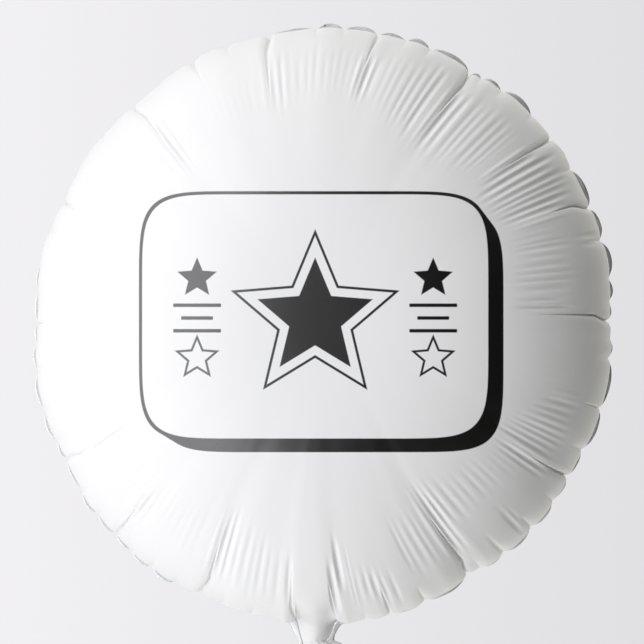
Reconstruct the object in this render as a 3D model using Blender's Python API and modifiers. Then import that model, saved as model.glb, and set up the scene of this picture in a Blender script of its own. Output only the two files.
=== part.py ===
# Round foil balloon, inflated: two welded films, a puckered rim, a short neck and a flat filling tail.
#
# Frame: +Z up, the printed face looks along -Y, the weld line lies in the plane Y = 0.
# The origin is the middle of the gathered waist, where a ribbon, clip or hand holds the balloon.

import bmesh
import bpy
import math

MM = 0.001

# Size of the inflated body, weld to weld
HALF_WIDTH = 180.8 * MM
HALF_HEIGHT = 187.1 * MM
HALF_DEPTH = 105.0 * MM
BODY_X = 5.0 * MM
BODY_Z = 200.0 * MM

# Walls, far thicker than the real film of 0.03 mm, so that each piece is a sound solid
FILM = 0.8 * MM
WELD = 1.0 * MM
VALVE_FILM = 0.5 * MM
GAP = 0.3 * MM

# Weld strip round the rim and down the neck
WELD_WIDTH = 5.5 * MM
WELD_LAP = 1.2 * MM
WELD_FLAT = 0.7 * MM
WELD_LIFT = 1.6 * MM
NECK_WELD_WIDTH = 4.0 * MM

# How far the rim stands out of a true ellipse: clock angle seen from the front, millimetres
SWELL = (
    (0, -2.5), (30, -2.9), (60, 0.0), (110, 0.5), (140, 0.0), (165, 2.0), (215, 3.8),
    (250, 3.4), (275, 0.2), (300, -0.8), (320, -2.8), (345, -3.2),
)

# How far the weld strip shows past the lobes, seen from the front: clock angle, millimetres
WELD_SHOWS = (
    (0, 1.9), (20, 2.4), (32, 1.3), (42, 2.8), (52, 0.4), (72, 1.9), (80, 2.0), (92, 0.3), (104, 1.5),
    (125, 1.0), (142, 1.3), (150, 0.2), (160, 0.9), (172, 0.4), (200, 0.6), (213, 2.4), (222, 1.3),
    (232, 1.9), (256, 1.8), (275, 1.5), (286, 0.0), (344, 0.0), (353, 1.2),
)

# Deep folds that run in from the weld: clock angle, depth in millimetres at the rim,
# how far in they reach as a share of the radius, and how far they lean on the way, in degrees
DEEP_FOLDS = (
    (10.6, 3.8, 0.25, -2.2), (30.1, 4.8, 0.32, -2.0), (51.0, 3.8, 0.26, -1.7), (66.4, 3.8, 0.18, -2.4),
    (89.3, 6.4, 0.28, -1.3), (107.6, 4.6, 0.16, 0.6), (122.6, 6.2, 0.32, 1.6), (150.7, 6.8, 0.35, 0.8),
    (167.4, 5.6, 0.13, 1.0), (177.5, 3.0, 0.27, 0.5), (186.1, 3.0, 0.23, 2.4), (204.3, 6.0, 0.30, 1.0),
    (224.3, 3.6, 0.20, 0.9), (241.8, 4.4, 0.22, 0.3), (269.5, 4.8, 0.10, 0.0), (294.2, 5.4, 0.15, 0.6),
    (318.0, 7.2, 0.29, 1.4), (333.3, 4.4, 0.12, -0.7), (348.4, 7.6, 0.28, -2.2),
)

# Small puckers of the rim between the deep folds: clock angle, depth in millimetres
PUCKERS = (
    (3.5, 5.0), (16.0, 3.2), (21.0, 3.4), (37.8, 3.0), (44.8, 2.8), (58.2, 3.8), (73.5, 3.4), (81.3, 3.0),
    (97.6, 4.0), (116.6, 3.8), (128.3, 5.2), (135.0, 4.2), (142.3, 3.4), (160.6, 4.8),
    (172.0, 4.0), (194.2, 4.2), (199.6, 3.8), (209.5, 3.8), (216.8, 2.8), (230.0, 2.4), (235.6, 2.4),
    (247.0, 2.6), (253.0, 2.2), (259.2, 2.2), (264.5, 2.4), (276.2, 2.8), (281.9, 2.4), (288.0, 2.8),
    (300.6, 3.4), (306.8, 3.2), (312.6, 2.8), (325.4, 4.0), (340.7, 4.2), (356.0, 4.2),
)
PUCKER_REACH = 0.09
FOLD_HALF_ANGLE = 4.4

# The lobes are tucked in at the weld and puff out beyond it
LOBE_TUCK = 2.2 * MM
LOBE_BULGE = 1.7 * MM
BULGE_LENGTH = 30.0 * MM

# Neck and tail, from the rim down: height, half width of the film, half depth in the middle,
# half depth at the weld, and sideways shift, all in millimetres
NECK_STATIONS = (
    (10.5, 12.9, 9.2, 1.0, -0.7), (7.0, 11.2, 7.2, 1.2, -0.4), (3.0, 9.2, 4.8, 1.5, -0.1),
    (0.0, 8.2, 3.6, 1.7, 0.0), (-3.5, 9.0, 3.0, 1.75, 0.2), (-8.0, 10.8, 2.2, 1.75, 0.5),
    (-13.0, 11.8, 1.75, 1.75, 0.6), (-62.0, 11.8, 1.75, 1.75, 0.6),
)
NECK_LEFT = 186.1
NECK_RIGHT = 177.5
NECK_TOP_DEPTH = 11.0 * MM

# The filling valve shows only at the open end of the tail
VALVE_HALF_WIDTH = 9.5 * MM
VALVE_TOP = -16.0 * MM
VALVE_BOTTOM = -66.0 * MM

# Mesh density
COLUMNS_PER_LOBE = 4
ROW_ARCS = (0.0, 0.16, 0.32, 0.46, 0.58, 0.66, 0.73, 0.79, 0.84, 0.88, 0.91, 0.935, 0.955, 0.97, 0.985, 1.0)
NECK_COLUMNS = 8
KEEP_SHARE = 0.42


def clear_scene():
    for old in list(bpy.data.objects):
        bpy.data.objects.remove(old, do_unlink=True)


def make_material(name, colour, roughness, metallic):
    material = bpy.data.materials.new(name)
    material.use_nodes = True
    shader = material.node_tree.nodes["Principled BSDF"]
    shader.inputs["Base Color"].default_value = (*colour, 1.0)
    shader.inputs["Roughness"].default_value = roughness
    shader.inputs["Metallic"].default_value = metallic
    return material


def angle_between(a, b):
    """Signed turn in degrees from b to a, between -180 and 180."""
    return (a - b + 180.0) % 360.0 - 180.0


def eased(table, clock):
    """Eased step from one entry of a table round the rim to the next, in metres."""
    clock = clock % 360.0
    closed = table + ((table[0][0] + 360, table[0][1]),)
    for (start, low), (end, high) in zip(closed, closed[1:]):
        if start <= clock <= end:
            ease = 0.5 - 0.5 * math.cos(math.pi * (clock - start) / (end - start))
            return (low + (high - low) * ease) * MM
    return 0.0


def rim_radius(clock):
    turn = math.radians(clock)
    ellipse = 1.0 / math.hypot(math.sin(turn) / HALF_WIDTH, math.cos(turn) / HALF_HEIGHT)
    return ellipse + eased(SWELL, clock)


def all_folds():
    """Every fold as clock angle, depth, reach, lean and half width in degrees, in order round the rim."""
    folds = [(clock, depth, reach, lean, FOLD_HALF_ANGLE) for clock, depth, reach, lean in DEEP_FOLDS]
    clocks = sorted([fold[0] for fold in DEEP_FOLDS] + [pucker[0] for pucker in PUCKERS])
    for clock, depth in PUCKERS:
        room = min(abs(angle_between(other, clock)) for other in clocks if other != clock)
        folds.append((clock, depth, PUCKER_REACH, 0.0, min(0.55 * room + 0.6, FOLD_HALF_ANGLE)))
    return sorted(folds)


FOLDS = all_folds()


def fold_depth(clock, share_in):
    """How far the film is drawn in at a clock angle; share_in is 0 at the rim and 1 at the middle."""
    depth = 0.0
    for centre, at_rim, reach, lean, half_angle in FOLDS:
        along = 1.0 - share_in / reach
        if along <= 0.0:
            continue
        across = 1.0 - abs(angle_between(clock, centre + lean * share_in / reach)) / half_angle
        if across > 0.0:
            depth += at_rim * MM * along ** 1.3 * across ** 2
    return depth


def lobe_share(clock):
    """1 on top of a lobe and 0 in the bottom of a fold, at the rim."""
    return max(0.0, 1.0 - fold_depth(clock, 0.0) / (3.0 * MM))


# A round balloon of two flat discs swells to the curve whose height is the integral of
# sqrt(sin(angle)) / 2 and whose radius is sqrt(sin(angle)); the angle runs from 0 to 90 degrees.
INTEGRAL_STEPS = 2000


def profile_tables():
    """Drop in height and arc length along the profile, from the middle out to the rim."""
    step = 0.5 * math.pi / INTEGRAL_STEPS
    heights = [0.0]
    arcs = [0.0]
    for i in range(INTEGRAL_STEPS):
        middle = (i + 0.5) * step
        heights.append(heights[-1] + 0.5 * math.sqrt(math.sin(middle)) * step)
        arcs.append(arcs[-1] + 0.5 / math.sqrt(math.sin(middle)) * step)
    return heights, arcs


HEIGHTS, ARCS = profile_tables()


def profile_at(arc_share):
    """Profile angle, radius share and height share at a share of the way from the middle to the rim."""
    target = arc_share * ARCS[-1]
    index = 0
    while index < INTEGRAL_STEPS and ARCS[index] < target:
        index += 1
    angle = 0.5 * math.pi * index / INTEGRAL_STEPS
    radius = math.sqrt(math.sin(angle))
    height = 1.0 - HEIGHTS[index] / HEIGHTS[-1]
    return angle, radius, height


PROFILE = [profile_at(share) for share in ROW_ARCS]


def neck_lift(clock):
    """Half depth that the neck's tube gives the film where it leaves the rim."""
    middle = 0.5 * (NECK_LEFT + NECK_RIGHT)
    half = 0.5 * (NECK_LEFT - NECK_RIGHT)
    across = angle_between(clock, middle) / half
    if abs(across) >= 1.0:
        return 0.0
    return NECK_TOP_DEPTH * (1.0 - across * across) ** 0.7


def film_point(clock, row, side):
    """A point of the front (side -1) or back (side 1) film."""
    angle, radius_share, height_share = PROFILE[row]
    outer = rim_radius(clock)
    drawn_in = fold_depth(clock, 1.0 - radius_share)
    from_rim = min((1.0 - ROW_ARCS[row]) * ARCS[-1] * outer / BULGE_LENGTH, 1.0)
    drawn_in += LOBE_TUCK * (1.0 - from_rim) ** 2
    drawn_in -= LOBE_BULGE * math.sin(math.pi * from_rim) * lobe_share(clock)
    radius = outer * radius_share - drawn_in * math.sin(angle)
    height = HALF_DEPTH * height_share - drawn_in * math.cos(angle)
    height = math.hypot(max(height, 0.0), neck_lift(clock))
    turn = math.radians(clock)
    seat = 0.5 * WELD + GAP
    return (BODY_X + radius * math.sin(turn), side * (seat + height), BODY_Z + radius * math.cos(turn))


def column_clocks():
    """Clock angles of the film's columns, one on each fold and the rest spread between."""
    centres = [fold[0] for fold in FOLDS]
    clocks = []
    for start, end in zip(centres, centres[1:] + [centres[0] + 360.0]):
        count = NECK_COLUMNS if abs(start - NECK_RIGHT) < 0.01 else COLUMNS_PER_LOBE
        clocks += [start + (end - start) * i / count for i in range(count)]
    return clocks


COLUMNS = column_clocks()


def link(obj, material):
    PARTS.objects.link(obj)
    obj.data.materials.append(material)
    for polygon in obj.data.polygons:
        polygon.use_smooth = True
    return obj


def mesh_object(name, bm, material):
    bmesh.ops.recalc_face_normals(bm, faces=bm.faces)
    mesh = bpy.data.meshes.new(name)
    bm.to_mesh(mesh)
    bm.free()
    return link(bpy.data.objects.new(name, mesh), material)


def turned_dome(bm):
    """A plain turned dome with one row of points for each profile station."""
    profile = bpy.data.meshes.new("profile")
    points = [(radius, 0.0, height) for angle, radius, height in PROFILE]
    profile.from_pydata(points, [(i, i + 1) for i in range(len(points) - 1)], [])
    helper = bpy.data.objects.new("profile", profile)
    bpy.context.scene.collection.objects.link(helper)
    screw = helper.modifiers.new("turn", "SCREW")
    screw.angle = 2.0 * math.pi
    screw.steps = len(COLUMNS)
    screw.render_steps = len(COLUMNS)
    screw.use_merge_vertices = True
    screw.merge_threshold = 0.00005
    screw.use_normal_flip = False
    evaluated = helper.evaluated_get(bpy.context.evaluated_depsgraph_get())
    turned = bpy.data.meshes.new_from_object(evaluated)
    bm.from_mesh(turned)
    bpy.data.objects.remove(helper, do_unlink=True)
    bpy.data.meshes.remove(turned)


def drawn_out(bm, row, edges, points):
    """Draws a row of edges out to a new row that lies on the given points."""
    grown = bmesh.ops.extrude_edge_only(bm, edges=edges)["geom"]
    new = {item for item in grown if isinstance(item, bmesh.types.BMVert)}
    next_row = []
    for old, point in zip(row, points):
        beside = [edge.other_vert(old) for edge in old.link_edges if edge.other_vert(old) in new]
        beside[0].co = point
        next_row.append(beside[0])
    return next_row, [bm.edges.get(pair) for pair in zip(next_row, next_row[1:])]


def add_neck(bm, rim_vertices, side):
    """Draws the film's edge down the neck and the tail, one station at a time."""
    first = COLUMNS.index(NECK_RIGHT)
    row = [rim_vertices[first + i] for i in range(NECK_COLUMNS + 1)]
    edges = [bm.edges.get(pair) for pair in zip(row, row[1:])]
    for height, half_width, middle, edge, shift in NECK_STATIONS:
        points = []
        for i in range(NECK_COLUMNS + 1):
            across = 1.0 - 2.0 * i / NECK_COLUMNS
            depth = edge + (middle - edge) * (1.0 - across * across) ** 0.7
            points.append(((shift + half_width * across) * MM, side * depth * MM, height * MM))
        row, edges = drawn_out(bm, row, edges, points)


def make_film(name, side, material):
    bm = bmesh.new()
    turned_dome(bm)
    rim = {}
    for vertex in bm.verts:
        radius = math.hypot(vertex.co.x, vertex.co.y)
        row = min(range(len(PROFILE)), key=lambda i: abs(PROFILE[i][1] - radius))
        column = round(math.atan2(vertex.co.y, vertex.co.x) * len(COLUMNS) / (2.0 * math.pi)) % len(COLUMNS)
        clock = COLUMNS[column] if row else 0.0
        vertex.co = film_point(clock, row, side)
        if row == len(PROFILE) - 1:
            rim[column] = vertex
    add_neck(bm, rim, side)
    bm.normal_update()
    film = mesh_object(name, bm, material)
    thin = film.modifiers.new("fewer faces", "DECIMATE")
    thin.ratio = KEEP_SHARE
    wall = film.modifiers.new("wall", "SOLIDIFY")
    wall.thickness = FILM
    wall.offset = -1.0
    wall.use_even_offset = True
    return film


def weld_paths():
    """Inner edge, bend and outer edge of the welded border, from the tail's left end to its right end."""
    start = COLUMNS.index(NECK_RIGHT) + NECK_COLUMNS
    around = [COLUMNS[i % len(COLUMNS)] for i in range(start, start + len(COLUMNS) - NECK_COLUMNS + 1)]
    paths = ([], [], [])

    def add_neck_side(stations, hand):
        for height, half_width, middle, edge, shift in stations:
            for path, out in zip(paths, (-WELD_LAP, WELD_FLAT, NECK_WELD_WIDTH)):
                path.append((shift * MM + hand * (half_width * MM + out), 0.0, height * MM))

    add_neck_side(reversed(NECK_STATIONS), -1.0)
    for clock in around:
        turn = math.radians(clock)
        lobe = lobe_share(clock)
        seam = rim_radius(clock) - fold_depth(clock, 0.0) - LOBE_TUCK
        reach = (LOBE_TUCK + eased(WELD_SHOWS, clock)) * (0.4 + 0.6 * lobe) + WELD_FLAT
        bend = WELD_LIFT * (1.0 - reach / WELD_WIDTH)
        for path, out, lift in zip(paths, (-WELD_LAP, WELD_FLAT, reach), (0.0, 0.0, bend)):
            radius = seam + out
            path.append((BODY_X + radius * math.sin(turn), lift, BODY_Z + radius * math.cos(turn)))
    add_neck_side(NECK_STATIONS, 1.0)
    return paths


def make_weld(material):
    """The welded border, one strip drawn outwards from its inner edge."""
    paths = weld_paths()
    bm = bmesh.new()
    row = [bm.verts.new(point) for point in paths[0]]
    edges = [bm.edges.new(pair) for pair in zip(row, row[1:])]
    for path in paths[1:]:
        row, edges = drawn_out(bm, row, edges, path)
    weld = mesh_object("heat_weld", bm, material)
    wall = weld.modifiers.new("wall", "SOLIDIFY")
    wall.thickness = WELD
    wall.offset = 0.0
    return weld


def make_valve(name, side, material):
    """One flat film of the filling valve, where it comes out of the tail."""
    bm = bmesh.new()
    bmesh.ops.create_cube(bm, size=1.0)
    length = VALVE_TOP - VALVE_BOTTOM
    bmesh.ops.scale(bm, vec=(2.0 * VALVE_HALF_WIDTH, VALVE_FILM, length), verts=bm.verts)
    place = (NECK_STATIONS[-1][4] * MM, side * 0.5 * (VALVE_FILM + GAP), 0.5 * (VALVE_TOP + VALVE_BOTTOM))
    bmesh.ops.translate(bm, vec=place, verts=bm.verts)
    valve = mesh_object(name, bm, material)
    for polygon in valve.data.polygons:
        polygon.use_smooth = False
    return valve


clear_scene()
PARTS = bpy.data.collections.new("foil_balloon")
bpy.context.scene.collection.children.link(PARTS)

white_film = make_material("white_film", (0.84, 0.84, 0.83), 0.32, 0.0)
silver_film = make_material("silver_film", (0.78, 0.79, 0.80), 0.22, 1.0)
silver_weld = make_material("silver_weld", (0.70, 0.71, 0.72), 0.30, 1.0)
milky_film = make_material("milky_film", (0.88, 0.89, 0.90), 0.45, 0.0)

make_film("front_film", -1, white_film)
make_film("back_film", 1, silver_film)
make_weld(silver_weld)
make_valve("valve_front", -1, milky_film)
make_valve("valve_back", 1, milky_film)
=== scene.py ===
# %% [markdown]
# # A round foil balloon
#
# A foil balloon is two flat discs of thin metallised film, welded together round the edge and blown up.
# The film bends easily but hardly stretches, and that one fact makes every detail that this script models:
# the dome with its steep side wall, the puckered rim, the folds that run in from the weld, and the fans of
# fine ripples between them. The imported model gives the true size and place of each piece, and the cells
# below build the fine surfaces and finishes that take the places of its plain solids.

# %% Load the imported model
import math

import bmesh
import bpy
import numpy as np
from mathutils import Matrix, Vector


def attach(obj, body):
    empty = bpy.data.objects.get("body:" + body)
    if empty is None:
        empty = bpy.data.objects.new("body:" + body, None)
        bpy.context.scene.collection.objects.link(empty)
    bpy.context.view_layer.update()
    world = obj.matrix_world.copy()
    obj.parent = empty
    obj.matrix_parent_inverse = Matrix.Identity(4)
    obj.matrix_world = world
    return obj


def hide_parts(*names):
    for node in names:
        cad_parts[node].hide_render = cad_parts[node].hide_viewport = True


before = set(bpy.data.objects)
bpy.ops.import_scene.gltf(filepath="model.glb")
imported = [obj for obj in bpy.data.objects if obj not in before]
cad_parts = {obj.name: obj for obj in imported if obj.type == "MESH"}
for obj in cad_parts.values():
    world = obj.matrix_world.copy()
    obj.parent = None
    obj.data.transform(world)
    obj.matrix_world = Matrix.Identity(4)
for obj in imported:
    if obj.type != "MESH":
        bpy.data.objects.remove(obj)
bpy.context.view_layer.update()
MM = 0.001

# %% [markdown]
# ## The camera
#
# The photograph looks straight at the printed face from a few arm's lengths away, at the height of the
# balloon's middle. A long lens keeps the outline nearly as wide as it really is. The lens is worked out
# from the width of the picture at the weld line, so the distance can change without changing the framing.

# %% Camera
PICTURE_WIDTH = 404.0 * MM
CAMERA_X = 3.2 * MM
CAMERA_Z = 199.4 * MM
CAMERA_DISTANCE = 1.55
SENSOR = 36.0

camera_data = bpy.data.cameras.new("camera")
camera_data.sensor_width = SENSOR
camera_data.lens = SENSOR * CAMERA_DISTANCE / PICTURE_WIDTH
camera = bpy.data.objects.new("camera", camera_data)
camera.location = (CAMERA_X, -CAMERA_DISTANCE, CAMERA_Z)
camera.rotation_euler = (math.radians(90.0), 0.0, 0.0)
bpy.context.scene.collection.objects.link(camera)
bpy.context.scene.camera = camera
print("lens, mm:", round(camera_data.lens, 1))

# %% [markdown]
# ## The sizes that everything follows
#
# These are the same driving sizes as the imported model's: the half width, height and depth of the blown-up
# body, and where its middle lies above the neck's waist, which is the origin. Angles are read as on a
# clock face seen from the front: 0 degrees at the top, 90 degrees at the right.

# %% Body sizes, in millimetres
HALF_WIDTH = 181.3
HALF_HEIGHT = 187.6
HALF_DEPTH = 105.0
BODY_X = 5.0
BODY_Z = 200.0
# Length of the film from the pole to the rim, against the rim's radius
WALL_ARC = 1.311
# Distance of each film from the weld's plane at the seam
SEAM_GAP = 0.15


def angle_gap(clock, centre):
    """Signed turn in degrees from the centre to the clock angle, between -180 and 180."""
    return (clock - centre + 180.0) % 360.0 - 180.0


def clamped(values):
    return np.clip(values, 0.0, 1.0)


def eased(table, clock):
    """Reads a table of (clock angle, value) pairs, with an eased step from one pair to the next."""
    starts = np.array([row[0] for row in table] + [table[0][0] + 360.0])
    values = np.array([row[1] for row in table] + [table[0][1]])
    clock = (np.asarray(clock) - starts[0]) % 360.0 + starts[0]
    k = np.clip(np.searchsorted(starts, clock, side="right") - 1, 0, len(table) - 1)
    share = (clock - starts[k]) / (starts[k + 1] - starts[k])
    return values[k] + (values[k + 1] - values[k]) * (0.5 - 0.5 * np.cos(np.pi * share))


def smooth_step(low, high, values):
    """0 up to the low end, 1 from the high end on, and an eased step between them."""
    share = clamped((values - low) / (high - low))
    return share * share * (3.0 - 2.0 * share)


def hump(values):
    """1 where the value is 0, eased down to 0 where it reaches 1 or -1."""
    return np.cos(0.5 * np.pi * np.clip(values, -1.0, 1.0)) ** 2


def smooth_curve(t, start, way, end, end_way):
    """The value at the share t of a curve that leaves its start and reaches its end along two ways."""
    value = (2 * t ** 3 - 3 * t ** 2 + 1) * start + (t ** 3 - 2 * t ** 2 + t) * way
    return value + (3 * t ** 2 - 2 * t ** 3) * end + (t ** 3 - t ** 2) * end_way


# %% [markdown]
# ## Small helpers for node trees
#
# Geometry and shader trees are wired in the same way and share the Math node. So the same few helpers
# serve both: one adds a node and feeds its inputs, one wires a calculation, and one starts a node group
# with named sockets.

# %% Node helpers


def feed(tree, node, inputs):
    """Gives each named or numbered input of a node a plain value or a link, whichever the value is."""
    for key, value in inputs.items():
        if isinstance(value, bpy.types.NodeSocket):
            tree.links.new(value, node.inputs[key])
        else:
            node.inputs[key].default_value = value


def add_node(tree, kind, inputs=None, **settings):
    made = tree.nodes.new(kind)
    for name, value in settings.items():
        setattr(made, name, value)
    feed(tree, made, inputs or {})
    return made


def calc(tree, operation, *values):
    """The output of one Math node."""
    return add_node(tree, "ShaderNodeMath", dict(enumerate(values)), operation=operation).outputs[0]


def split(tree, vector):
    """The X, Y and Z of a vector."""
    return add_node(tree, "ShaderNodeSeparateXYZ", {0: vector}).outputs


def new_group(kind, name, outputs, inputs):
    """Starts a node group; both tables list the sockets' names for each kind of socket."""
    tree = bpy.data.node_groups.new(name, kind)
    for way, table in (("OUTPUT", outputs), ("INPUT", inputs)):
        for socket, labels in table.items():
            for label in labels:
                tree.interface.new_socket(label, in_out=way, socket_type="NodeSocket" + socket)
    return tree, add_node(tree, "NodeGroupInput").outputs


def end_geometry(tree, geometry, material):
    """Makes any instances real, sets the material and hands the geometry out."""
    real = add_node(tree, "GeometryNodeRealizeInstances", {0: geometry}).outputs[0]
    dressed = add_node(tree, "GeometryNodeSetMaterial", {"Geometry": real, "Material": material})
    add_node(tree, "NodeGroupOutput", {0: dressed.outputs[0]})


# %% [markdown]
# ## The swollen disc
#
# Two flat discs of film that can't stretch swell to a known curve, flatter than a ball and with an upright
# wall at the rim. Its radius is the square root of the sine of an angle, and its height is a running sum
# of that same root. A Screw modifier could turn such a profile, but the running sum would have to be
# worked out outside it. Geometry Nodes can do both: Accumulate Field adds the heights up along a curve,
# and Sample Curve then reads the curve at even steps of its length, so the rows of the mesh are spaced
# along the film itself. Every point keeps its place in the pattern as named attributes for the folds.

# %% Geometry Nodes tree for the swollen disc
PROFILE_POINTS = 400
STORED = ("round_share", "arc_share", "radius_share", "height", "lean_in", "drop")


def profile_curve(tree):
    """A curve whose points are moved to the radius (X) and the height (Y) of the rule."""
    line = add_node(tree, "GeometryNodeCurvePrimitiveLine").outputs[0]
    points = add_node(tree, "GeometryNodeResampleCurve", {"Curve": line, "Count": PROFILE_POINTS})
    index = add_node(tree, "GeometryNodeInputIndex").outputs[0]

    def angle_at(steps):
        share = calc(tree, "DIVIDE", steps, PROFILE_POINTS - 1.0)
        return calc(tree, "MULTIPLY", calc(tree, "MULTIPLY", share, share), 0.5 * math.pi)

    angle = angle_at(index)
    before = angle_at(calc(tree, "MAXIMUM", calc(tree, "SUBTRACT", index, 1.0), 0.0))
    middle = calc(tree, "MULTIPLY", calc(tree, "ADD", angle, before), 0.5)
    step = calc(tree, "SUBTRACT", angle, before)
    piece = calc(tree, "MULTIPLY", calc(tree, "SQRT", calc(tree, "SINE", middle)), step)
    half = calc(tree, "MULTIPLY", piece, 0.5)
    running = add_node(tree, "GeometryNodeAccumulateField", {0: half}, data_type="FLOAT", domain="POINT")
    place = add_node(tree, "ShaderNodeCombineXYZ", {
        0: calc(tree, "SQRT", calc(tree, "SINE", angle)),
        1: calc(tree, "SUBTRACT", running.outputs["Total"], running.outputs["Leading"]),
    }).outputs[0]
    moved = add_node(tree, "GeometryNodeSetPosition", {"Geometry": points.outputs[0], "Position": place})
    return moved.outputs[0]


def swollen_disc_tree():
    tree, given = new_group("GeometryNodeTree", "swollen_disc", {"Geometry": ("Geometry",)}, {
        "Float": ("Half Width", "Half Height", "Half Depth", "First Share", "Last Share", "Crowding"),
        "Int": ("Columns", "Rows"), "Material": ("Material",),
    })

    # The sheet: a flat grid whose columns run round the clock and whose rows run out to the rim
    grid = add_node(tree, "GeometryNodeMeshGrid", {
        "Size X": 1.0, "Size Y": 1.0, "Vertices X": calc(tree, "ADD", given["Columns"], 1.0),
        "Vertices Y": calc(tree, "ADD", given["Rows"], 1.0),
    })
    flat = split(tree, add_node(tree, "GeometryNodeInputPosition").outputs[0])
    round_share = calc(tree, "ADD", flat[0], 0.5)
    out_share = calc(tree, "ADD", flat[1], 0.5)
    left = calc(tree, "SUBTRACT", 1.0, out_share)
    crowd = calc(tree, "ADD", 1.0, calc(tree, "MULTIPLY", given["Crowding"], left))
    band = calc(tree, "SUBTRACT", given["Last Share"], given["First Share"])
    within = calc(tree, "MULTIPLY", calc(tree, "MULTIPLY", out_share, crowd), band)
    arc_share = calc(tree, "ADD", given["First Share"], within)

    # Where each row lies on the profile, and which way the profile runs there
    read = {"Curves": profile_curve(tree), "Factor": arc_share}
    sample = add_node(tree, "GeometryNodeSampleCurve", read, mode="FACTOR", use_all_curves=True)
    found = split(tree, sample.outputs["Position"])
    along = split(tree, sample.outputs["Tangent"])
    kept = grid.outputs["Mesh"]
    for name, value in zip(STORED, (round_share, arc_share, found[0], found[1], along[0], along[1])):
        noted = {"Geometry": kept, "Name": name, "Value": value}
        store = add_node(tree, "GeometryNodeStoreNamedAttribute", noted, data_type="FLOAT", domain="POINT")
        kept = store.outputs[0]

    turn = calc(tree, "MULTIPLY", round_share, 2.0 * math.pi)
    across = calc(tree, "MULTIPLY", found[0], given["Half Width"])
    upward = calc(tree, "MULTIPLY", found[0], given["Half Height"])
    place = add_node(tree, "ShaderNodeCombineXYZ", {
        0: calc(tree, "MULTIPLY", across, calc(tree, "SINE", turn)),
        1: calc(tree, "MULTIPLY", found[1], given["Half Depth"]),
        2: calc(tree, "MULTIPLY", upward, calc(tree, "COSINE", turn)),
    }).outputs[0]
    swollen = add_node(tree, "GeometryNodeSetPosition", {"Geometry": kept, "Position": place})
    end_geometry(tree, swollen.outputs[0], given["Material"])
    return tree


DISC_TREE = swollen_disc_tree()

# %% Mesh helpers


def run_tree(tree, mesh, values):
    """Runs a geometry tree on a mesh and returns the result as a plain mesh."""
    helper = bpy.data.objects.new(mesh.name, mesh)
    bpy.context.scene.collection.objects.link(helper)
    modifier = helper.modifiers.new("nodes", "NODES")
    modifier.node_group = tree
    for item in tree.interface.items_tree:
        if item.in_out == "INPUT" and item.name in values:
            modifier[item.identifier] = values[item.name]
    evaluated = helper.evaluated_get(bpy.context.evaluated_depsgraph_get())
    result = bpy.data.meshes.new_from_object(evaluated)
    bpy.data.objects.remove(helper, do_unlink=True)
    return result


def read_attribute(mesh, name):
    values = np.empty(len(mesh.vertices))
    mesh.attributes[name].data.foreach_get("value", values)
    return values


def show_mesh(name, mesh):
    """A smooth object at the origin that shows a mesh."""
    mesh.polygons.foreach_set("use_smooth", np.ones(len(mesh.polygons), dtype=bool))
    shown = bpy.data.objects.new(name, mesh)
    bpy.context.scene.collection.objects.link(shown)
    return shown


def add_wall(piece, thickness, offset):
    """Gives a strip a real wall, in mm, with a Solidify modifier."""
    wall = piece.modifiers.new("wall", "SOLIDIFY")
    wall.thickness = thickness * MM
    wall.offset = offset


# %% [markdown]
# ## The rim
#
# Blown up, the rim is much shorter than the edge that was welded, so the weld pinches the film together
# every few centimetres. Between two pinches the film stands out as a lobe, and where the welded border
# stands out further than the film, a thin silver crescent shows. One row of this table is one pinch and
# the lobe after it, read off the photograph clockwise from the top.

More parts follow.
